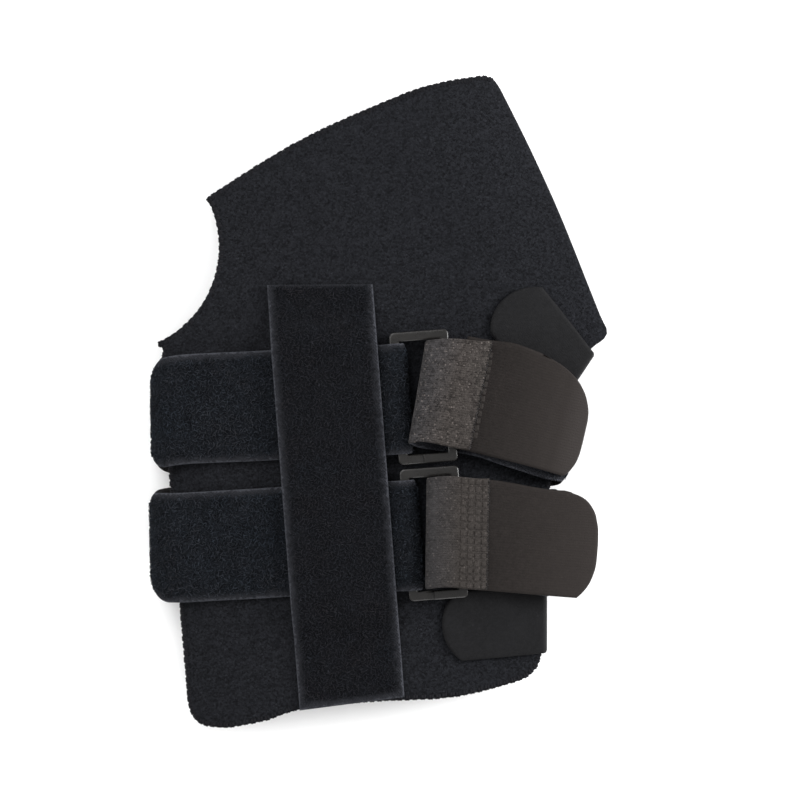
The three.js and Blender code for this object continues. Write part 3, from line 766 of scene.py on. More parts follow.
def pile_loops(middle, width, columns, thick, selvedge, seed, shown, end_band=0.0, gap=0.85):
    """Loops of pile standing on a tape's outer face wherever shown says that it is seen."""
    draw = random.Random(seed)
    normals = tape_normals(middle)
    along_reach = [row[columns // 2][1] for row in middle]
    paths, tones = [], []
    margin = selvedge - 1.0
    rows, files = int(along_reach[-1] / gap), int((width - 2 * margin) / gap)
    for row in range(rows):
        for file in range(files):
            along = (row + draw.uniform(0, 1)) * gap
            across = margin + (file + draw.uniform(0, 1)) * gap - width / 2
            i = min(bisect_right(along_reach, along), len(middle) - 1)
            j = round((across / width + 0.5) * columns)
            if along < START_BAND or along > along_reach[-1] - end_band:
                continue
            if not shown(middle[i][j][0], normals[i][j]):
                continue
            place, along_way, across_way, normal = surface_point(middle, width, columns, along, across)
            near = smoothstep(margin - 0.4, margin + 1.8, width / 2 - abs(across))
            if draw.random() > 0.25 + 0.75 * near:
                continue
            turn = draw.uniform(0, 2 * math.pi)
            span = along_way * math.cos(turn) + across_way * math.sin(turn)
            span *= draw.uniform(0.25, 0.8)
            lean = (along_way * draw.uniform(-1, 1) + across_way * draw.uniform(-1, 1)) * 0.5
            rise = draw.uniform(0.25, 0.7) * (0.55 + 0.45 * near)
            foot = place + normal * (thick * 0.2)
            tones.append(draw.random() ** 1.6)
            paths.append([
                foot - span - normal * 0.1,
                foot - span * 0.8 + normal * rise * 0.7 + lean * 0.6,
                foot + normal * rise + lean,
                foot + span * 0.8 + normal * rise * 0.7 + lean * 0.6,
                foot + span - normal * 0.1,
            ])
    need(len(paths) > 200, "too few loops of pile are seen")
    return threads_mesh(paths, LOOP_RADIUS, 3, tones)


def strap_shown(place, normal):
    """Whether a strap's pile is seen there, clear of the strip and of the hook tab."""
    if place.z < 4 or normal.z < -0.45 or -33 < place.x < 1.8:
        return False
    return place.x < 12 or place.x > 56


def strip_middle(width, columns, pitch=0.6):
    """Middle surface of the pile strip, over the sleeve and the straps."""
    rows = [
        (-y, front_z(-4, y) + GAP + 0.75 + lift, skew - 180) for y, lift, skew in STRIP_ROWS]
    first, last = rows[0][0], rows[-1][0]
    count = round((last - first) / pitch)
    middle, distance, before = [], 0.0, None
    for k in range(count + 1):
        down = lerp(first, last, k / count)
        z, skew = cubic(rows, down)
        place = Vector((STRIP_X, -down, z))
        if before is not None:
            distance += (place - before).length
        before = place
        angle = math.radians(skew)
        across = Vector((math.sin(angle), math.cos(angle), 0))
        middle.append([(place + across * width * (j / columns - 0.5), distance) for j in range(columns + 1)])
    return middle


def hook_middle(tab, width, columns, pitch=0.7):
    """Middle surface of a hook tab with its rounded end."""
    x, y = tab["start"]
    heading = math.radians(tab["heading"])
    length = tab["heights"][-1][0]
    way = Vector((math.cos(heading), math.sin(heading), 0))
    across_way = Vector((-way.y, way.x, 0))
    count = round(length / pitch)
    middle = []
    for k in range(count + 1):
        row = []
        for j in range(columns + 1):
            across = width * (j / columns - 0.5)
            along = length * k / count
            along -= cubic(tab["end"], across)[0] * (along / length) ** 3
            z = cubic(tab["heights"], along)[0]
            hem_bow, foot_bow = cubic(tab["bows"], along)
            across *= 1 + (foot_bow if across > 0 else hem_bow) / (width / 2)
            row.append((Vector((x, y, z)) + way * along + across_way * across, along))
        middle.append(row)
    return middle


def closure_middle(tab, width, thick, columns, radius=15, pitch=0.7):
    """Middle surface of a closure tab: along the front, round the slit's edge and under the back."""
    (x, y), heading, reach, fold_skew = tab
    way = Vector((math.cos(math.radians(heading)), math.sin(math.radians(heading)), 0))
    rest = GAP + thick / 2
    nose = 1.4
    tip = Vector((x, y, 0))

    def spot(along, across):
        angle = math.radians(lerp(-heading, fold_skew, min(1.0, along / reach)))
        return tip + way * along + Vector((math.sin(angle), math.cos(angle), 0)) * across

    middle = []
    front_rows = round(reach / pitch)
    turn_rows, back_rows = 14, 14
    for k in range(front_rows + turn_rows + back_rows + 1):
        row = []
        for j in range(columns + 1):
            across = width * (j / columns - 0.5)
            brink = spot(reach, across)
            top, bottom = front_z(brink.x, brink.y) + rest, back_z(brink.x, brink.y) - rest
            if k <= front_rows:
                along = reach * k / front_rows
                short = radius - math.sqrt(radius**2 - across**2)
                along += short * (1 - smoothstep(0, 20, along))
                place = spot(along, across)
                place.z = front_z(place.x, place.y) + rest
                distance = along
            elif k <= front_rows + turn_rows:
                angle = math.pi * (0.5 - (k - front_rows) / turn_rows)
                place = brink + way * nose * math.cos(angle)
                place.z = lerp(bottom, top, 0.5 + 0.5 * math.sin(angle))
                distance = reach + (top - bottom) * (k - front_rows) / turn_rows
            else:
                share = (k - front_rows - turn_rows) / back_rows
                place = spot(reach, across) - way * CLOSURE_BACK_LEG * share
                place.z = back_z(place.x, place.y) - rest
                distance = reach + top - bottom + CLOSURE_BACK_LEG * share
            row.append((place, distance))
        middle.append(row)
    return middle


def ring_middle(y, width, height, side=3.0, end=3.2, corner=1.6, columns=8):
    """Middle surface of a ring bent from flat strip, from one side of its butt joint to the other."""
    half_x, half_y = width / 2, height / 2
    joint = -1.4
    outer, inner = [], []

    def corner_arc(centre_x, centre_y, first):
        sx, sy = math.copysign(1, centre_x), math.copysign(1, centre_y)
        inset = 0.6
        for k in range(9):
            a = math.radians(first + 90 * k / 8)
            outer.append(Vector((
                sx * (half_x - corner) + corner * math.cos(a),
                sy * (half_y - corner) + corner * math.sin(a))))
            inner.append(Vector((
                sx * (half_x - side - inset) + inset * math.cos(a),
                sy * (half_y - end - inset) + inset * math.sin(a))))

    def bar(a, b, c, d, steps=6):
        for k in range(1, steps):
            outer.append(a.lerp(b, k / steps))
            inner.append(c.lerp(d, k / steps))

    outer.append(Vector((joint, -half_y)))
    inner.append(Vector((joint, -half_y + end)))
    for centre in ((1, -1, -90), (1, 1, 0), (-1, 1, 90), (-1, -1, 180)):
        a, c = outer[-1], inner[-1]
        mark = len(outer)
        corner_arc(*centre)
        tail = outer[mark:], inner[mark:]
        del outer[mark:], inner[mark:]
        bar(a, tail[0][0], c, tail[1][0])
        outer.extend(tail[0])
        inner.extend(tail[1])
    bar(outer[-1], Vector((joint - 0.12, -half_y)), inner[-1], Vector((joint - 0.12, -half_y + end)))
    outer.append(Vector((joint - 0.12, -half_y)))
    inner.append(Vector((joint - 0.12, -half_y + end)))
    middle, distance, before = [], 0.0, None
    count = len(outer) - 1
    for k, (a, b) in enumerate(zip(outer, inner)):
        centre = (a + b) / 2
        if before is not None:
            distance += (centre - before).length
        before = centre
        share = k / count
        lift = 0.22 * smoothstep(0.1, 0.0, share) - 0.22 * smoothstep(0.9, 1.0, share)
        tilt = 0.05 * smoothstep(0.1, 0.0, share) - 0.2 * smoothstep(0.88, 1.0, share)
        row = []
        for j in range(columns + 1):
            share_out = 0.5 - 0.5 * math.cos(math.pi * j / columns)
            spot = a.lerp(b, share_out)
            z = RING_Z + lift + tilt * (spot - centre).length * (1 if share_out > 0.5 else -1)
            row.append((Vector((RING_X + spot.x, y + spot.y, z)), distance))
        middle.append(row)
    return middle


def ring_face(level, width=3.2, bevel=0.34):
    """Height of a ring's flat face, rounded off along its edges."""

    def height(along, across, rim, to_selvedge):
        share = 0.5 - 0.5 * math.cos(math.pi * (0.5 + across / width))
        to_edge = width * min(share, 1 - share)
        return level - math.copysign(bevel * max(0.0, 1 - to_edge / bevel) ** 2, level)

    return height


def surface_point(middle, width, columns, along, across):
    """Place and frame of a tape's middle surface at distances along and across it."""
    reach = [row[columns // 2][1] for row in middle]
    i = min(max(bisect_right(reach, along), 1), len(middle) - 1)
    t = (along - reach[i - 1]) / (reach[i] - reach[i - 1])
    where = (across / width + 0.5) * columns
    j = min(max(int(where), 0), columns - 1)
    s = where - j
    a = middle[i - 1][j][0].lerp(middle[i - 1][j + 1][0], s)
    b = middle[i][j][0].lerp(middle[i][j + 1][0], s)
    along_way = (b - a).normalized()
    across_way = (middle[i][j + 1][0] - middle[i][j][0]).normalized()
    normal = across_way.cross(along_way).normalized()
    across_way = along_way.cross(normal)
    return a.lerp(b, t), along_way, across_way, normal


def pads(middle, width, columns, spots, level, seed, rounding):
    """Low square pads pressed up on a tape's inner face, each at (along, across, size along, size across)."""
    draw = random.Random(seed)
    bm = bmesh.new()
    for along, across, size_along, size_across in spots:
        place, along_way, across_way, normal = surface_point(middle, width, columns, along, across)
        grow = draw.uniform(0.92, 1.06)
        turned = Matrix((along_way * size_along * grow, across_way * size_across * grow, -normal * 0.46))
        bmesh.ops.create_cube(
            bm, size=1, matrix=Matrix.Translation(place - normal * level) @ turned.transposed().to_4x4())
    bmesh.ops.bevel(
        bm, geom=bm.edges, offset=rounding, segments=3, affect="EDGES", profile=0.5, material=-1,
        clamp_overlap=True)
    bmesh.ops.recalc_face_normals(bm, faces=bm.faces)
    return bm


def fringe(middle, width, columns, level, seed):
    """Cut ends of threads along a tape's last row, standing out of its inner face."""
    draw = random.Random(seed)
    length = middle[-1][0][1]
    paths = []
    across = 0.3 - width / 2
    while across < width / 2 - 0.3:
        place, along_way, across_way, normal = surface_point(middle, width, columns, length - 0.5, across)
        rise, stray = draw.uniform(0.0, 0.16), draw.uniform(-0.35, 0.35)
        reach = draw.uniform(0.4, 0.95)
        paths.append([
            place - normal * (level - 0.05),
            place - normal * (level + rise) + along_way * reach * 0.6 + across_way * stray * 0.4,
            place - normal * (level - 0.25) + along_way * reach + across_way * stray,
        ])
        across += draw.uniform(0.4, 0.95)
    return threads_mesh(paths, FRINGE_RADIUS, 4)


# Materials

class Shading:
    """A node tree under construction."""

    def __init__(self, tree):
        self.tree = tree

    def node(self, kind, inputs=None, **settings):
        made = self.tree.nodes.new(kind)
        for name, value in settings.items():
            setattr(made, name, value)
        for name, value in (inputs or {}).items():
            self.put(made.inputs[name], value)
        return made

    def put(self, socket, value):
        """Links a socket to a node's output, or sets its value."""
        if isinstance(value, bpy.types.NodeSocket):
            self.tree.links.new(value, socket)
        else:
            socket.default_value = value

    def object_place(self):
        return self.node("ShaderNodeTexCoord").outputs["Object"]

    def tape_place(self):
        return self.node("ShaderNodeAttribute", attribute_name="tape").outputs["Vector"]

    def math(self, operation, a, b=0.0, clamp=False):
        return self.node("ShaderNodeMath", {0: a, 1: b}, operation=operation, use_clamp=clamp).outputs[0]

    def span(self, value, low, high, to_low=0.0, to_high=1.0):
        return self.node("ShaderNodeMapRange", {
            "Value": value, "From Min": low, "From Max": high, "To Min": to_low, "To Max": to_high,
        }).outputs["Result"]

    def mix(self, share, a, b):
        made = self.node("ShaderNodeMix", data_type="RGBA")
        for socket, value in zip((0, 6, 7), (share, a, b)):
            self.put(made.inputs[socket], value)
        return made.outputs[2]

    def effect(self, name, **inputs):
        made = self.node("ShaderNodeGroup", node_tree=effect(name))
        for socket, value in inputs.items():
            self.put(made.inputs[socket], value)
        return made.outputs


def effect(name):
    """The shared node group of that name, built at its first use."""
    if name in bpy.data.node_groups:
        return bpy.data.node_groups[name]
    tree = bpy.data.node_groups.new(name, "ShaderNodeTree")
    inputs, outputs, build = EFFECTS[name]
    for socket, kind, default in inputs:
        made = tree.interface.new_socket(socket, in_out="INPUT", socket_type=kind)
        if default is not None:
            made.default_value = default
    for socket, kind in outputs:
        tree.interface.new_socket(socket, in_out="OUTPUT", socket_type=kind)
    shading = Shading(tree)
    source = shading.node("NodeGroupInput").outputs
    results = build(shading, source)
    target = shading.node("NodeGroupOutput")
    for socket, value in results.items():
        tree.links.new(value, target.inputs[socket])
    return tree


def build_mottle(shading, source):
    """Uneven shade of dyed cloth, coarse over fine."""
    coarse = shading.node("ShaderNodeTexNoise", {
        "Vector": source["Vector"], "Scale": shading.math("DIVIDE", 1.0, source["Size"]), "Detail": 3.0})
    fine = shading.node("ShaderNodeTexNoise", {
        "Vector": source["Vector"], "Scale": shading.math("DIVIDE", 6.0, source["Size"]), "Detail": 2.0})
    both = shading.math("ADD", shading.math("MULTIPLY", coarse.outputs["Fac"], 0.6),
                        shading.math("MULTIPLY", fine.outputs["Fac"], 0.4))
    return {"Shade": shading.span(both, 0.3, 0.7)}


def build_loops(shading, source):
    """Small loops of pile: rounded tops with low gaps between them, which the pile tapes' finish darkens as
    painted shade.
    """
    stray = shading.node("ShaderNodeTexNoise", {
        "Vector": source["Vector"], "Scale": shading.math("DIVIDE", 1.2, source["Size"]), "Detail": 2.0})
    offset = shading.node("ShaderNodeVectorMath", {0: stray.outputs["Color"], 1: (0.5, 0.5, 0.5)},
                          operation="SUBTRACT")
    moved = shading.node("ShaderNodeVectorMath", {0: offset.outputs[0]}, operation="SCALE")
    shading.tree.links.new(shading.math("MULTIPLY", source["Size"], 1.6), moved.inputs["Scale"])
    vector = shading.node("ShaderNodeVectorMath", {0: source["Vector"], 1: moved.outputs[0]}, operation="ADD")
    cells = shading.node("ShaderNodeTexVoronoi", {
        "Vector": vector.outputs[0], "Scale": shading.math("DIVIDE", 1.0, source["Size"]), "Randomness": 1.0})
    tone = shading.node("ShaderNodeSeparateColor", {"Color": cells.outputs["Color"]})
    dome = shading.span(cells.outputs["Distance"], 0.75, 0.1)
    return {"Height": dome, "Tone": tone.outputs["Red"]}


def build_weave(shading, source):
    """Plain weave of fine threads along and across a tape."""
    parts = shading.node("ShaderNodeSeparateXYZ", {"Vector": source["Vector"]})
    turn = 2 * math.pi
    warp = shading.math("SINE", shading.math(
        "MULTIPLY", shading.math("DIVIDE", parts.outputs["X"], source["Along"]), turn))
    weft = shading.math("SINE", shading.math(
        "MULTIPLY", shading.math("DIVIDE", parts.outputs["Y"], source["Across"]), turn))
    height = shading.math("ADD", shading.math("MULTIPLY", shading.math("MULTIPLY", warp, weft), 0.5), 0.5)
    return {"Height": height, "Ribs": shading.math("ADD", shading.math("MULTIPLY", weft, 0.5), 0.5)}


def build_specks(shading, source):
    """Sparse bright specks, as of lint and glinting filaments."""
    cells = shading.node("ShaderNodeTexVoronoi", {
        "Vector": source["Vector"], "Scale": shading.math("DIVIDE", 1.0, source["Size"]), "Randomness": 1.0})
    tone = shading.node("ShaderNodeSeparateColor", {"Color": cells.outputs["Color"]})
    chosen = shading.math("LESS_THAN", tone.outputs["Green"], source["Share"])
    spot = shading.span(cells.outputs["Distance"], 0.42, 0.12)
    strength = shading.span(tone.outputs["Blue"], 0.0, 1.0, 0.35, 1.0)
    return {"Mask": shading.math("MULTIPLY", shading.math("MULTIPLY", chosen, spot), strength)}


VECTOR, FLOAT = "NodeSocketVector", "NodeSocketFloat"
EFFECTS = {
    "Dye mottle": ([("Vector", VECTOR, None), ("Size", FLOAT, 0.006)], [("Shade", FLOAT)], build_mottle),
    "Pile loops": (
        [("Vector", VECTOR, None), ("Size", FLOAT, 0.001)],
        [("Height", FLOAT), ("Tone", FLOAT)], build_loops),
    "Plain weave": (
        [("Vector", VECTOR, None), ("Along", FLOAT, 0.0008), ("Across", FLOAT, 0.0008)],
        [("Height", FLOAT), ("Ribs", FLOAT)], build_weave),
    "Bright specks": (
        [("Vector", VECTOR, None), ("Size", FLOAT, 0.0007), ("Share", FLOAT, 0.05)],
        [("Mask", FLOAT)], build_specks),
}


def rgba(value, gain=1.0):
    return (value[0] * gain, value[1] * gain, value[2] * gain, 1.0)


def finish(name, build):
    """A material whose surface build sets up, with its principled shader."""
    material = bpy.data.materials.get(name)
    if material:
        return material
    material = bpy.data.materials.new(name)
    material.use_nodes = True
    tree = material.node_tree
    tree.nodes.clear()
    shading = Shading(tree)
    shader = shading.node("ShaderNodeBsdfPrincipled")
    output = shading.node("ShaderNodeOutputMaterial")
    tree.links.new(shader.outputs["BSDF"], output.inputs["Surface"])
    build(shading, shader)
    return material


def sheen(shader, roughness, weight, tint, specular=0.04):
    shader.inputs["Roughness"].default_value = roughness
    shader.inputs["Sheen Weight"].default_value = weight
    shader.inputs["Sheen Roughness"].default_value = 0.45
    shader.inputs["Sheen Tint"].default_value = rgba(tint)
    shader.inputs["Specular IOR Level"].default_value = specular


def bumped(shading, shader, height, distance, strength=1.0):
    bump = shading.node("ShaderNodeBump", {"Height": height, "Distance": distance, "Strength": strength})
    shading.tree.links.new(bump.outputs["Normal"], shader.inputs["Normal"])


def coated(shading, shader, value):
    shading.tree.links.new(value, shader.inputs["Base Color"])


def cloth_finish(shading, shader):
    """Knit nylon on neoprene: fine stitches, faint mottling, a little lint."""
    tint = bpy.context.scene.brace_colours.cloth
    place = shading.object_place()
    knit = shading.effect("Pile loops", Vector=place, Size=0.00055)
    shade = shading.effect("Dye mottle", Vector=place, Size=0.001)["Shade"]
    lint = shading.effect("Bright specks", Vector=place, Size=0.0011, Share=0.14)["Mask"]
    tone = shading.math(
        "ADD", shading.math("MULTIPLY", knit["Tone"], 0.6), shading.math("MULTIPLY", shade, 0.4))
    base = shading.mix(tone, rgba(tint, 0.15), rgba(tint, 1.7))
    coated(shading, shader, shading.mix(shading.math("MULTIPLY", lint, 0.6), base, rgba(tint, 2.6)))
    sheen(shader, 0.9, 0.015, (0.5, 0.5, 0.53))
    bumped(shading, shader, knit["Height"], 0.00012)


def pile_finish(colour_name, spread):
    """Ground of the loop pile, with painted shade in the gaps between its loops, between two woven selvedges
    with a painted highlight along the very edge.
    """

    def build(shading, shader):
        colours = bpy.context.scene.brace_colours
        tint = getattr(colours, colour_name)
        place = shading.object_place()
        tape = shading.tape_place()
        rim = shading.node("ShaderNodeSeparateXYZ", {"Vector": tape}).outputs["Z"]
        loops = shading.effect("Pile loops", Vector=place, Size=0.00085)
        shade = shading.effect("Dye mottle", Vector=place, Size=0.0045)["Shade"]
        weave = shading.effect("Plain weave", Vector=tape, Along=0.0011, Across=0.0009)["Height"]
        # Painted shade: darker in the low gaps between the loops, over the loops' own random tones
        tone = shading.math("ADD", shading.math("MULTIPLY", loops["Tone"], 0.35), shading.math(
            "MULTIPLY", shading.math("MULTIPLY", loops["Height"], shade), 0.75))
        pile = shading.mix(tone, rgba(tint, 0.75 - spread), rgba(tint, 0.75 + spread))
        woven = shading.mix(
            shading.math("MULTIPLY", weave, shade), rgba(colours.selvedge, 0.95), rgba(colours.selvedge, 1.5))
        fray = shading.node("ShaderNodeTexNoise", {"Vector": place, "Scale": 900.0, "Detail": 2.0})
        edge = shading.math("ADD", rim, shading.span(fray.outputs["Fac"], 0.3, 0.7, -0.0005, 0.0005))
        bare = shading.span(edge, 0.0031, 0.0012)
        shown = shading.mix(bare, pile, woven)
        # Painted highlight: lighter along the very edge of the selvedge, where it catches the light
        coated(shading, shader, shading.mix(
            shading.span(edge, 0.0007, 0.0002), shown, rgba(colours.selvedge, 2.5)))
        sheen(shader, 0.95, 0.02, (0.55, 0.57, 0.62))
        relief = shading.math("ADD", loops["Height"], shading.math("MULTIPLY", weave, bare))
        bumped(shading, shader, relief, 0.0003)

    return build


def loop_finish(colour_name, spread):
    """Filaments of the loop pile, each of its own tone, some of them catching the light."""

    def build(shading, shader):
        tint = getattr(bpy.context.scene.brace_colours, colour_name)
        place = shading.object_place()
        own = shading.node("ShaderNodeAttribute", attribute_name="tone").outputs["Fac"]
        shade = shading.effect("Dye mottle", Vector=place, Size=0.003)["Shade"]
        glint = shading.effect("Bright specks", Vector=place, Size=0.0016, Share=0.12)["Mask"]
        tone = shading.math("ADD", shading.math("MULTIPLY", own, 0.6), shading.math("MULTIPLY", shade, 0.4))
        drift = shading.effect("Dye mottle", Vector=place, Size=0.013)["Shade"]
        warm, cool = (
            [part * turn for part, turn in zip(tint, turns)]
            for turns in ((1.14, 1.0, 0.92), (0.88, 1.0, 1.06)))
        dark = shading.mix(drift, rgba(warm, 1.15 - spread), rgba(cool, 1.15 - spread))
        light = shading.mix(drift, rgba(warm, 1.15 + 1.6 * spread), rgba(cool, 1.15 + 1.6 * spread))
        base = shading.mix(tone, dark, light)
        coated(shading, shader, shading.mix(shading.math("MULTIPLY", glint, spread), base, rgba(tint, 3.4)))
        sheen(shader, 0.8, 0.02, (0.55, 0.57, 0.62), 0.05)

    return build


def backing_finish(gain, spread, fold=-0.02):
    """Woven back of the straps: fine ribs along the strap with glinting filaments, and a cooler tint painted
    round the fold that lies that far along, as painted shade where the tape rolls away from the light."""

    def build(shading, shader):
        tint = [part * gain for part in bpy.context.scene.brace_colours.backing]
        # cool is a painted shade tint, used round the fold where the tape rolls away from the light
        cool = [part * turn for part, turn in zip(tint, (0.98, 1.06, 1.19))]
        place = shading.object_place()
        tape = shading.tape_place()
        weave = shading.effect("Plain weave", Vector=tape, Along=0.0017, Across=0.0008)["Ribs"]
        loops = shading.effect("Pile loops", Vector=place, Size=0.0007)
        shade = shading.effect("Dye mottle", Vector=place, Size=0.004)["Shade"]
        glint = shading.effect("Bright specks", Vector=place, Size=0.0009, Share=0.3)["Mask"]
        tone = shading.math("ADD", shading.math("MULTIPLY", weave, 0.12), shading.math("ADD", shading.math(
            "MULTIPLY", loops["Tone"], 0.53), shading.math("MULTIPLY", shade, 0.35)))
        reach = shading.node("ShaderNodeSeparateXYZ", {"Vector": tape}).outputs["X"]
        # Painted shade: the cool tint round the fold; warm is the share past it, which keeps the tape's own
        # tint
        warm = shading.span(reach, fold, fold + 0.009)
        dark, light = (
            shading.mix(warm, rgba(cool, shade_gain), rgba(tint, shade_gain))
            for shade_gain in (0.95 - spread, 0.95 + spread))
        base = shading.mix(tone, dark, light)
        coated(shading, shader, shading.mix(shading.math("MULTIPLY", glint, spread), base, rgba(tint, 4.0)))
        sheen(shader, 0.7, 0.03, (0.6, 0.58, 0.56), 0.06)
        relief = shading.math("ADD", shading.math("MULTIPLY", weave, 0.4), loops["Height"])
        bumped(shading, shader, relief, 0.00014)

    return build


def ribbed_tape(colour_name, across, ribs, gain=1.0, end_highlight=0.0):
    """Back of hook tape: fine ribs and a dusting of specks, with a painted highlight that makes it paler
    towards the end by a share.
    """

    def build(shading, shader):
        tint = [part * gain for part in getattr(bpy.context.scene.brace_colours, colour_name)]
        place = shading.object_place()
        tape = shading.tape_place()
        weave = shading.effect("Plain weave", Vector=tape, Across=across)["Ribs"]
        shade = shading.effect("Dye mottle", Vector=place, Size=0.009)["Shade"]
        reach = shading.node("ShaderNodeSeparateXYZ", {"Vector": tape}).outputs["X"]
        # Painted highlight: paler towards the tab's end, standing in for the light that end catches
        painted_end_highlight = shading.span(reach, 0.012, 0.042, 0.0, end_highlight)
        grain = shading.effect("Pile loops", Vector=place, Size=0.0005)
        dust = shading.effect("Bright specks", Vector=place, Size=0.0012, Share=0.015)["Mask"]
        tone = shading.math("ADD", shading.math("MULTIPLY", weave, ribs), shading.math("ADD", shading.math(
            "MULTIPLY", shade, 0.45 - ribs), shading.math("MULTIPLY", grain["Tone"], 0.55)))
        base = shading.mix(painted_end_highlight, shading.mix(tone, rgba(tint, 0.72), rgba(tint, 1.38)), rgba(tint, 2.0))
        coated(shading, shader, shading.mix(shading.math("MULTIPLY", dust, 0.4), base, rgba(tint, 2.6)))
        sheen(shader, 0.6, 0.01, (0.6, 0.57, 0.55), 0.05)
        relief = shading.math(
            "ADD", shading.math("MULTIPLY", weave, 3 * ribs), shading.math("MULTIPLY", grain["Height"], 0.6))
        bumped(shading, shader, relief, 0.00007)

    return build


def metal_finish(shading, shader):
    """Dark painted metal, worn a little lighter in places."""
    tint = bpy.context.scene.brace_colours.metal
    place = shading.object_place()
    shade = shading.effect("Dye mottle", Vector=place, Size=0.004)["Shade"]
    nicks = shading.effect("Bright specks", Vector=place, Size=0.0016, Share=0.05)["Mask"]
    base = shading.mix(shade, rgba(tint, 0.8), rgba(tint, 1.25))
    coated(shading, shader, shading.mix(shading.math("MULTIPLY", nicks, 0.35), base, rgba(tint, 3.5)))
    shading.tree.links.new(shading.span(shade, 0.0, 1.0, 0.24, 0.38), shader.inputs["Roughness"])
    shader.inputs["Specular IOR Level"].default_value = 0.4
    bumped(shading, shader, shade, 0.00005)


def thread_finish(shading, shader):
    """Dull twisted thread."""
    tint = bpy.context.scene.brace_colours.thread
    place = shading.object_place()
    shade = shading.effect("Dye mottle", Vector=place, Size=0.0016)["Shade"]
    coated(shading, shader, shading.mix(shade, rgba(tint, 0.75), rgba(tint, 1.35)))
    sheen(shader, 0.85, 0.015, (0.5, 0.5, 0.53))
    bumped(shading, shader, shade, 0.0001)


def floor_finish(shading, shader):
    """Plain pale studio floor."""
    tint = bpy.context.scene.brace_colours.floor
    place = shading.object_place()
    shade = shading.effect("Dye mottle", Vector=place, Size=0.4)["Shade"]
    coated(shading, shader, shading.mix(shade, rgba(tint, 0.985), rgba(tint, 1.0)))
    shader.inputs["Roughness"].default_value = 0.9


# Pads that weld each hook tab on: columns and rows, how far the first column lies past the strap's end, pitch
# and pad size along and across, level over the strap's middle on the face seen, and rounding
WELDS = {
    "upper": {"columns": 1, "rows": 12, "past": 1.35, "pitch": (2.45, 2.5), "pad": (1.7, 2.0),
              "level": -1.1, "rounding": 0.2},
    "lower": {"columns": 4, "rows": 15, "past": -1.5, "pitch": (2.45, 2.5), "pad": (1.75, 1.8),
              "level": 0.75, "rounding": 0.4},
}
# Painted light on each strap's folded end: its brightness and the spread of its tones and painted glints,
# lighter on the
# # upper strap and darker on the lower for how the light falls; painted shade on its pressed pads, darkest on
# the upper
# # strap in the fold's shadow; and the length from the fold to the strap's end
BACKING_PAINTED_LIGHT = {"upper": (0.96, 0.8), "lower": (0.84, 0.45)}
PAD_PAINTED_SHADE = {"upper": 0.8, "lower": 0.94}
FOLDED_BACK = 19
# Brightness of each hook tab, lighter or darker as painted light for how the light falls on it, and how much
# paler a painted highlight makes it towards its end
HOOK_PAINTED_LIGHT = {"upper": (0.93, 0.72), "lower": (1.07, 0.5)}


# Operators

class BRACE_OT_sleeve(bpy.types.Operator):
    """Makes the hollow neoprene sleeve and the overlock stitches on its edges"""

    bl_idname = "brace.sleeve"
    bl_label = "Sleeve"

    def execute(self, context):
        sizes = context.scene.brace_sizes
        neoprene = sizes.neoprene / MM
        sleeve = collection_object(
            "sleeve_cloth", sleeve_mesh(neoprene), [finish("Neoprene cloth", cloth_finish)])
        dressed(sleeve, "foam_cloth", "sleeve")
        threads = overlock_mesh(neoprene, sizes.stitch_pitch / MM, sizes.seam_pitch / MM)
        need(len(threads.verts) > 1000, "the overlock has too few stitches")
        overlock = collection_object("sleeve_overlock", threads, [finish("Thread", thread_finish)])
        dressed(overlock, "foam_cloth")
        return {"FINISHED"}


class BRACE_OT_straps(bpy.types.Operator):
    """Makes the two pile straps, folded through their rings, with their frayed ends and the pads that
    join their hook tabs"""

    bl_idname = "brace.straps"
    bl_label = "Straps"

    def execute(self, context):
        sizes = context.scene.brace_sizes
        width, thick = sizes.strap_width / MM, sizes.strap_thick / MM
        columns = 60
        pile = finish("Strap pile", pile_finish("pile", 0.5))
        for seed, (which, strap) in enumerate(STRAPS.items()):
            # Painted light and shade for this strap's folded end and its pads
            gain, spread = BACKING_PAINTED_LIGHT[which]
            middle = strap_middle(strap, width, columns)
            length = middle[-1][0][1]
            backing = finish(
                f"Strap backing {which}", backing_finish(gain, spread, (length - FOLDED_BACK) * MM))
            pressed = finish(f"Pressed backing {which}", backing_finish(PAD_PAINTED_SHADE[which], 0.3))
            need(300 < length < 500, f"the {which} strap is {length:.0f} mm long")
            bm = tape_mesh(
                middle, width, pile_face(thick, sizes.selvedge / MM, 17.0 * seed),
                plain_face(-thick / 2, 0.03, seed), columns)
            tape = collection_object(f"strap_tape_{which}", bm, [pile, backing])
            dressed(tape, "loop_tape", f"strap_{which}")
            loops = collection_object(
                f"strap_loops_{which}",
                pile_loops(middle, width, columns, thick, sizes.selvedge / MM, seed, strap_shown),
                [finish("Strap loops", loop_finish("pile", 0.78))])
            dressed(loops, "loop_tape")
            weld = WELDS[which]
            pitch_along, pitch_across = weld["pitch"]
            spots = [
                (length + weld["past"] - pitch_along * c,
                 pitch_across * (k - (weld["rows"] - 1) / 2), *weld["pad"])
                for c in range(weld["columns"]) for k in range(weld["rows"])]
            welds = collection_object(
                f"strap_welds_{which}",
                pads(middle, width, columns, spots, weld["level"], seed, weld["rounding"]), [pressed])
            dressed(welds, "loop_tape")
            frayed = collection_object(
                f"strap_fringe_{which}", fringe(middle, width, columns, thick / 2, seed), [backing])
            dressed(frayed, "loop_tape")
        return {"FINISHED"}


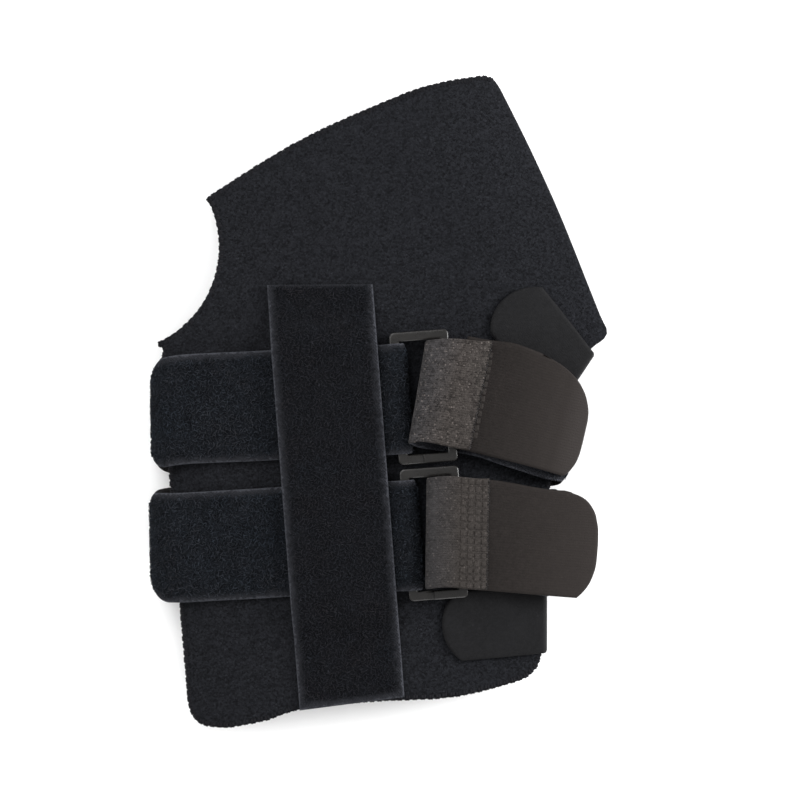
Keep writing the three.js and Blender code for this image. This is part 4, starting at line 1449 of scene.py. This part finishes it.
class BRACE_OT_strip(bpy.types.Operator):
    """Makes the pile strip that holds the straps down on the sleeve"""

    bl_idname = "brace.strip"
    bl_label = "Pile strip"

    def execute(self, context):
        sizes = context.scene.brace_sizes
        width, thick, columns = sizes.strip_width / MM, sizes.strap_thick / MM, 60
        middle = strip_middle(width, columns)
        bm = tape_mesh(
            middle, width, pile_face(thick, sizes.selvedge / MM, 61.0), plain_face(-thick / 2), columns,
            pressed_end=True)
        faces = [
            finish("Strip pile", pile_finish("strip", 0.35)),
            finish("Strip backing", backing_finish(1.0, 0.3))]
        strip = collection_object("strip_tape", bm, faces)
        dressed(strip, "loop_tape", "pile_strip")
        loops = collection_object(
            "strip_loops",
            pile_loops(middle, width, columns, thick, sizes.selvedge / MM, 61, lambda *_: True, 2.4),
            [finish("Strip loops", loop_finish("strip", 0.42))])
        dressed(loops, "loop_tape")
        return {"FINISHED"}


class BRACE_OT_rings(bpy.types.Operator):
    """Makes the two rings of bent flat strip"""

    bl_idname = "brace.rings"
    bl_label = "Rings"

    def execute(self, context):
        sizes = context.scene.brace_sizes
        thick = sizes.ring_thick / MM
        for which, strap in STRAPS.items():
            middle = ring_middle(strap["ring_y"], sizes.ring_width / MM, sizes.ring_height / MM)
            bm = tape_mesh(middle, 3.2, ring_face(thick / 2), ring_face(-thick / 2), 8)
            ring = collection_object(
                f"ring_plate_{which}", bm, [finish("Painted metal", metal_finish)], sharp=50)
            for face in ring.data.polygons:
                face.material_index = 0
            dressed(ring, "ring_metal", f"ring_{which}")
        return {"FINISHED"}


class BRACE_OT_hook_tabs(bpy.types.Operator):
    """Makes the hook tabs on the ends of the straps"""

    bl_idname = "brace.hook_tabs"
    bl_label = "Hook tabs"

    def execute(self, context):
        sizes = context.scene.brace_sizes
        width, thick, columns = sizes.hook_width / MM, sizes.tab_thick / MM, 48
        for which, tab in HOOK_TABS.items():
            ribs = finish(f"Hook tape {which}", ribbed_tape("hook", 0.0009, 0.13, *HOOK_PAINTED_LIGHT[which]))
            middle = hook_middle(tab, width, columns)
            bm = tape_mesh(middle, width, plain_face(thick / 2), plain_face(-thick / 2, 0.04), columns)
            tape = collection_object(f"hook_tape_{which}", bm, [ribs, ribs])
            dressed(tape, "hook_tape", f"hook_tab_{which}")
        return {"FINISHED"}


class BRACE_OT_closure_tabs(bpy.types.Operator):
    """Makes the tabs that close the slit"""

    bl_idname = "brace.closure_tabs"
    bl_label = "Closure tabs"

    def execute(self, context):
        sizes = context.scene.brace_sizes
        width, thick, columns = sizes.closure_width / MM, sizes.tab_thick / MM, 34
        grain = finish("Closure tape", ribbed_tape("closure", 0.0007, 0.04))
        for which, tab in CLOSURE_TABS.items():
            middle = closure_middle(tab, width, thick, columns)
            bm = tape_mesh(middle, width, plain_face(thick / 2), plain_face(-thick / 2, 0.03), columns)
            tape = collection_object(f"closure_tape_{which}", bm, [grain, grain])
            dressed(tape, "closure_tape", f"closure_tab_{which}")
        return {"FINISHED"}


class BRACE_OT_stage(bpy.types.Operator):
    """Sets the floor, the studio light and the camera"""

    bl_idname = "brace.stage"
    bl_label = "Stage"

    def execute(self, context):
        scene = context.scene
        bm = bmesh.new()
        bmesh.ops.create_grid(bm, x_segments=1, y_segments=1, size=3000)
        floor = collection_object("studio_floor", bm, [finish("Studio floor", floor_finish)])
        world = scene.world or bpy.data.worlds.new("Studio")
        scene.world = world
        world.use_nodes = True
        backdrop = world.node_tree.nodes.get("Background")
        need(backdrop is not None, "the world has no background")
        backdrop.inputs["Color"].default_value = (1, 1, 1, 1)
        backdrop.inputs["Strength"].default_value = WORLD_LIGHT
        for name, place, size, power in LAMPS:
            light = bpy.data.lights.new(f"studio_{name}", "AREA")
            light.size, light.energy = size, power
            lamp = bpy.data.objects.new(f"studio_{name}", light)
            scene.collection.objects.link(lamp)
            lamp.location = place
            lamp.rotation_euler = (-Vector(place)).to_track_quat("-Z", "Y").to_euler()
        view = bpy.data.cameras.new("view")
        view.angle = CAMERA_ANGLE
        camera = bpy.data.objects.new("view", view)
        scene.collection.objects.link(camera)
        camera.location = CAMERA_PLACE
        camera.rotation_euler = (0, 0, CAMERA_TURN)
        scene.camera = camera
        scene.view_settings.view_transform = "Standard"
        return {"FINISHED"}


class BRACE_PT_sidebar(bpy.types.Panel):
    """The brace's pieces and sizes in the sidebar"""

    bl_idname = "BRACE_PT_sidebar"
    bl_label = "Ankle brace"
    bl_space_type = "VIEW_3D"
    bl_region_type = "UI"
    bl_category = "Brace"

    def draw(self, context):
        for operator in OPERATORS:
            self.layout.operator(operator.bl_idname)
        for group in (context.scene.brace_sizes, context.scene.brace_colours):
            box = self.layout.box()
            for name in group.__annotations__:
                box.prop(group, name)


OPERATORS = (
    BRACE_OT_straps, BRACE_OT_rings, BRACE_OT_hook_tabs, BRACE_OT_closure_tabs, BRACE_OT_sleeve,
    BRACE_OT_strip, BRACE_OT_stage,
)
CLASSES = (BraceSizes, BraceColours, *OPERATORS, BRACE_PT_sidebar)


def register():
    for each in CLASSES:
        bpy.utils.register_class(each)
    bpy.types.Scene.brace_sizes = PointerProperty(type=BraceSizes)
    bpy.types.Scene.brace_colours = PointerProperty(type=BraceColours)


def unregister():
    del bpy.types.Scene.brace_colours
    del bpy.types.Scene.brace_sizes
    for each in reversed(CLASSES):
        bpy.utils.unregister_class(each)


def main():
    register()
    for operator in OPERATORS:
        space, name = operator.bl_idname.split(".")
        getattr(getattr(bpy.ops, space), name)()


if __name__ == "__main__":
    main()
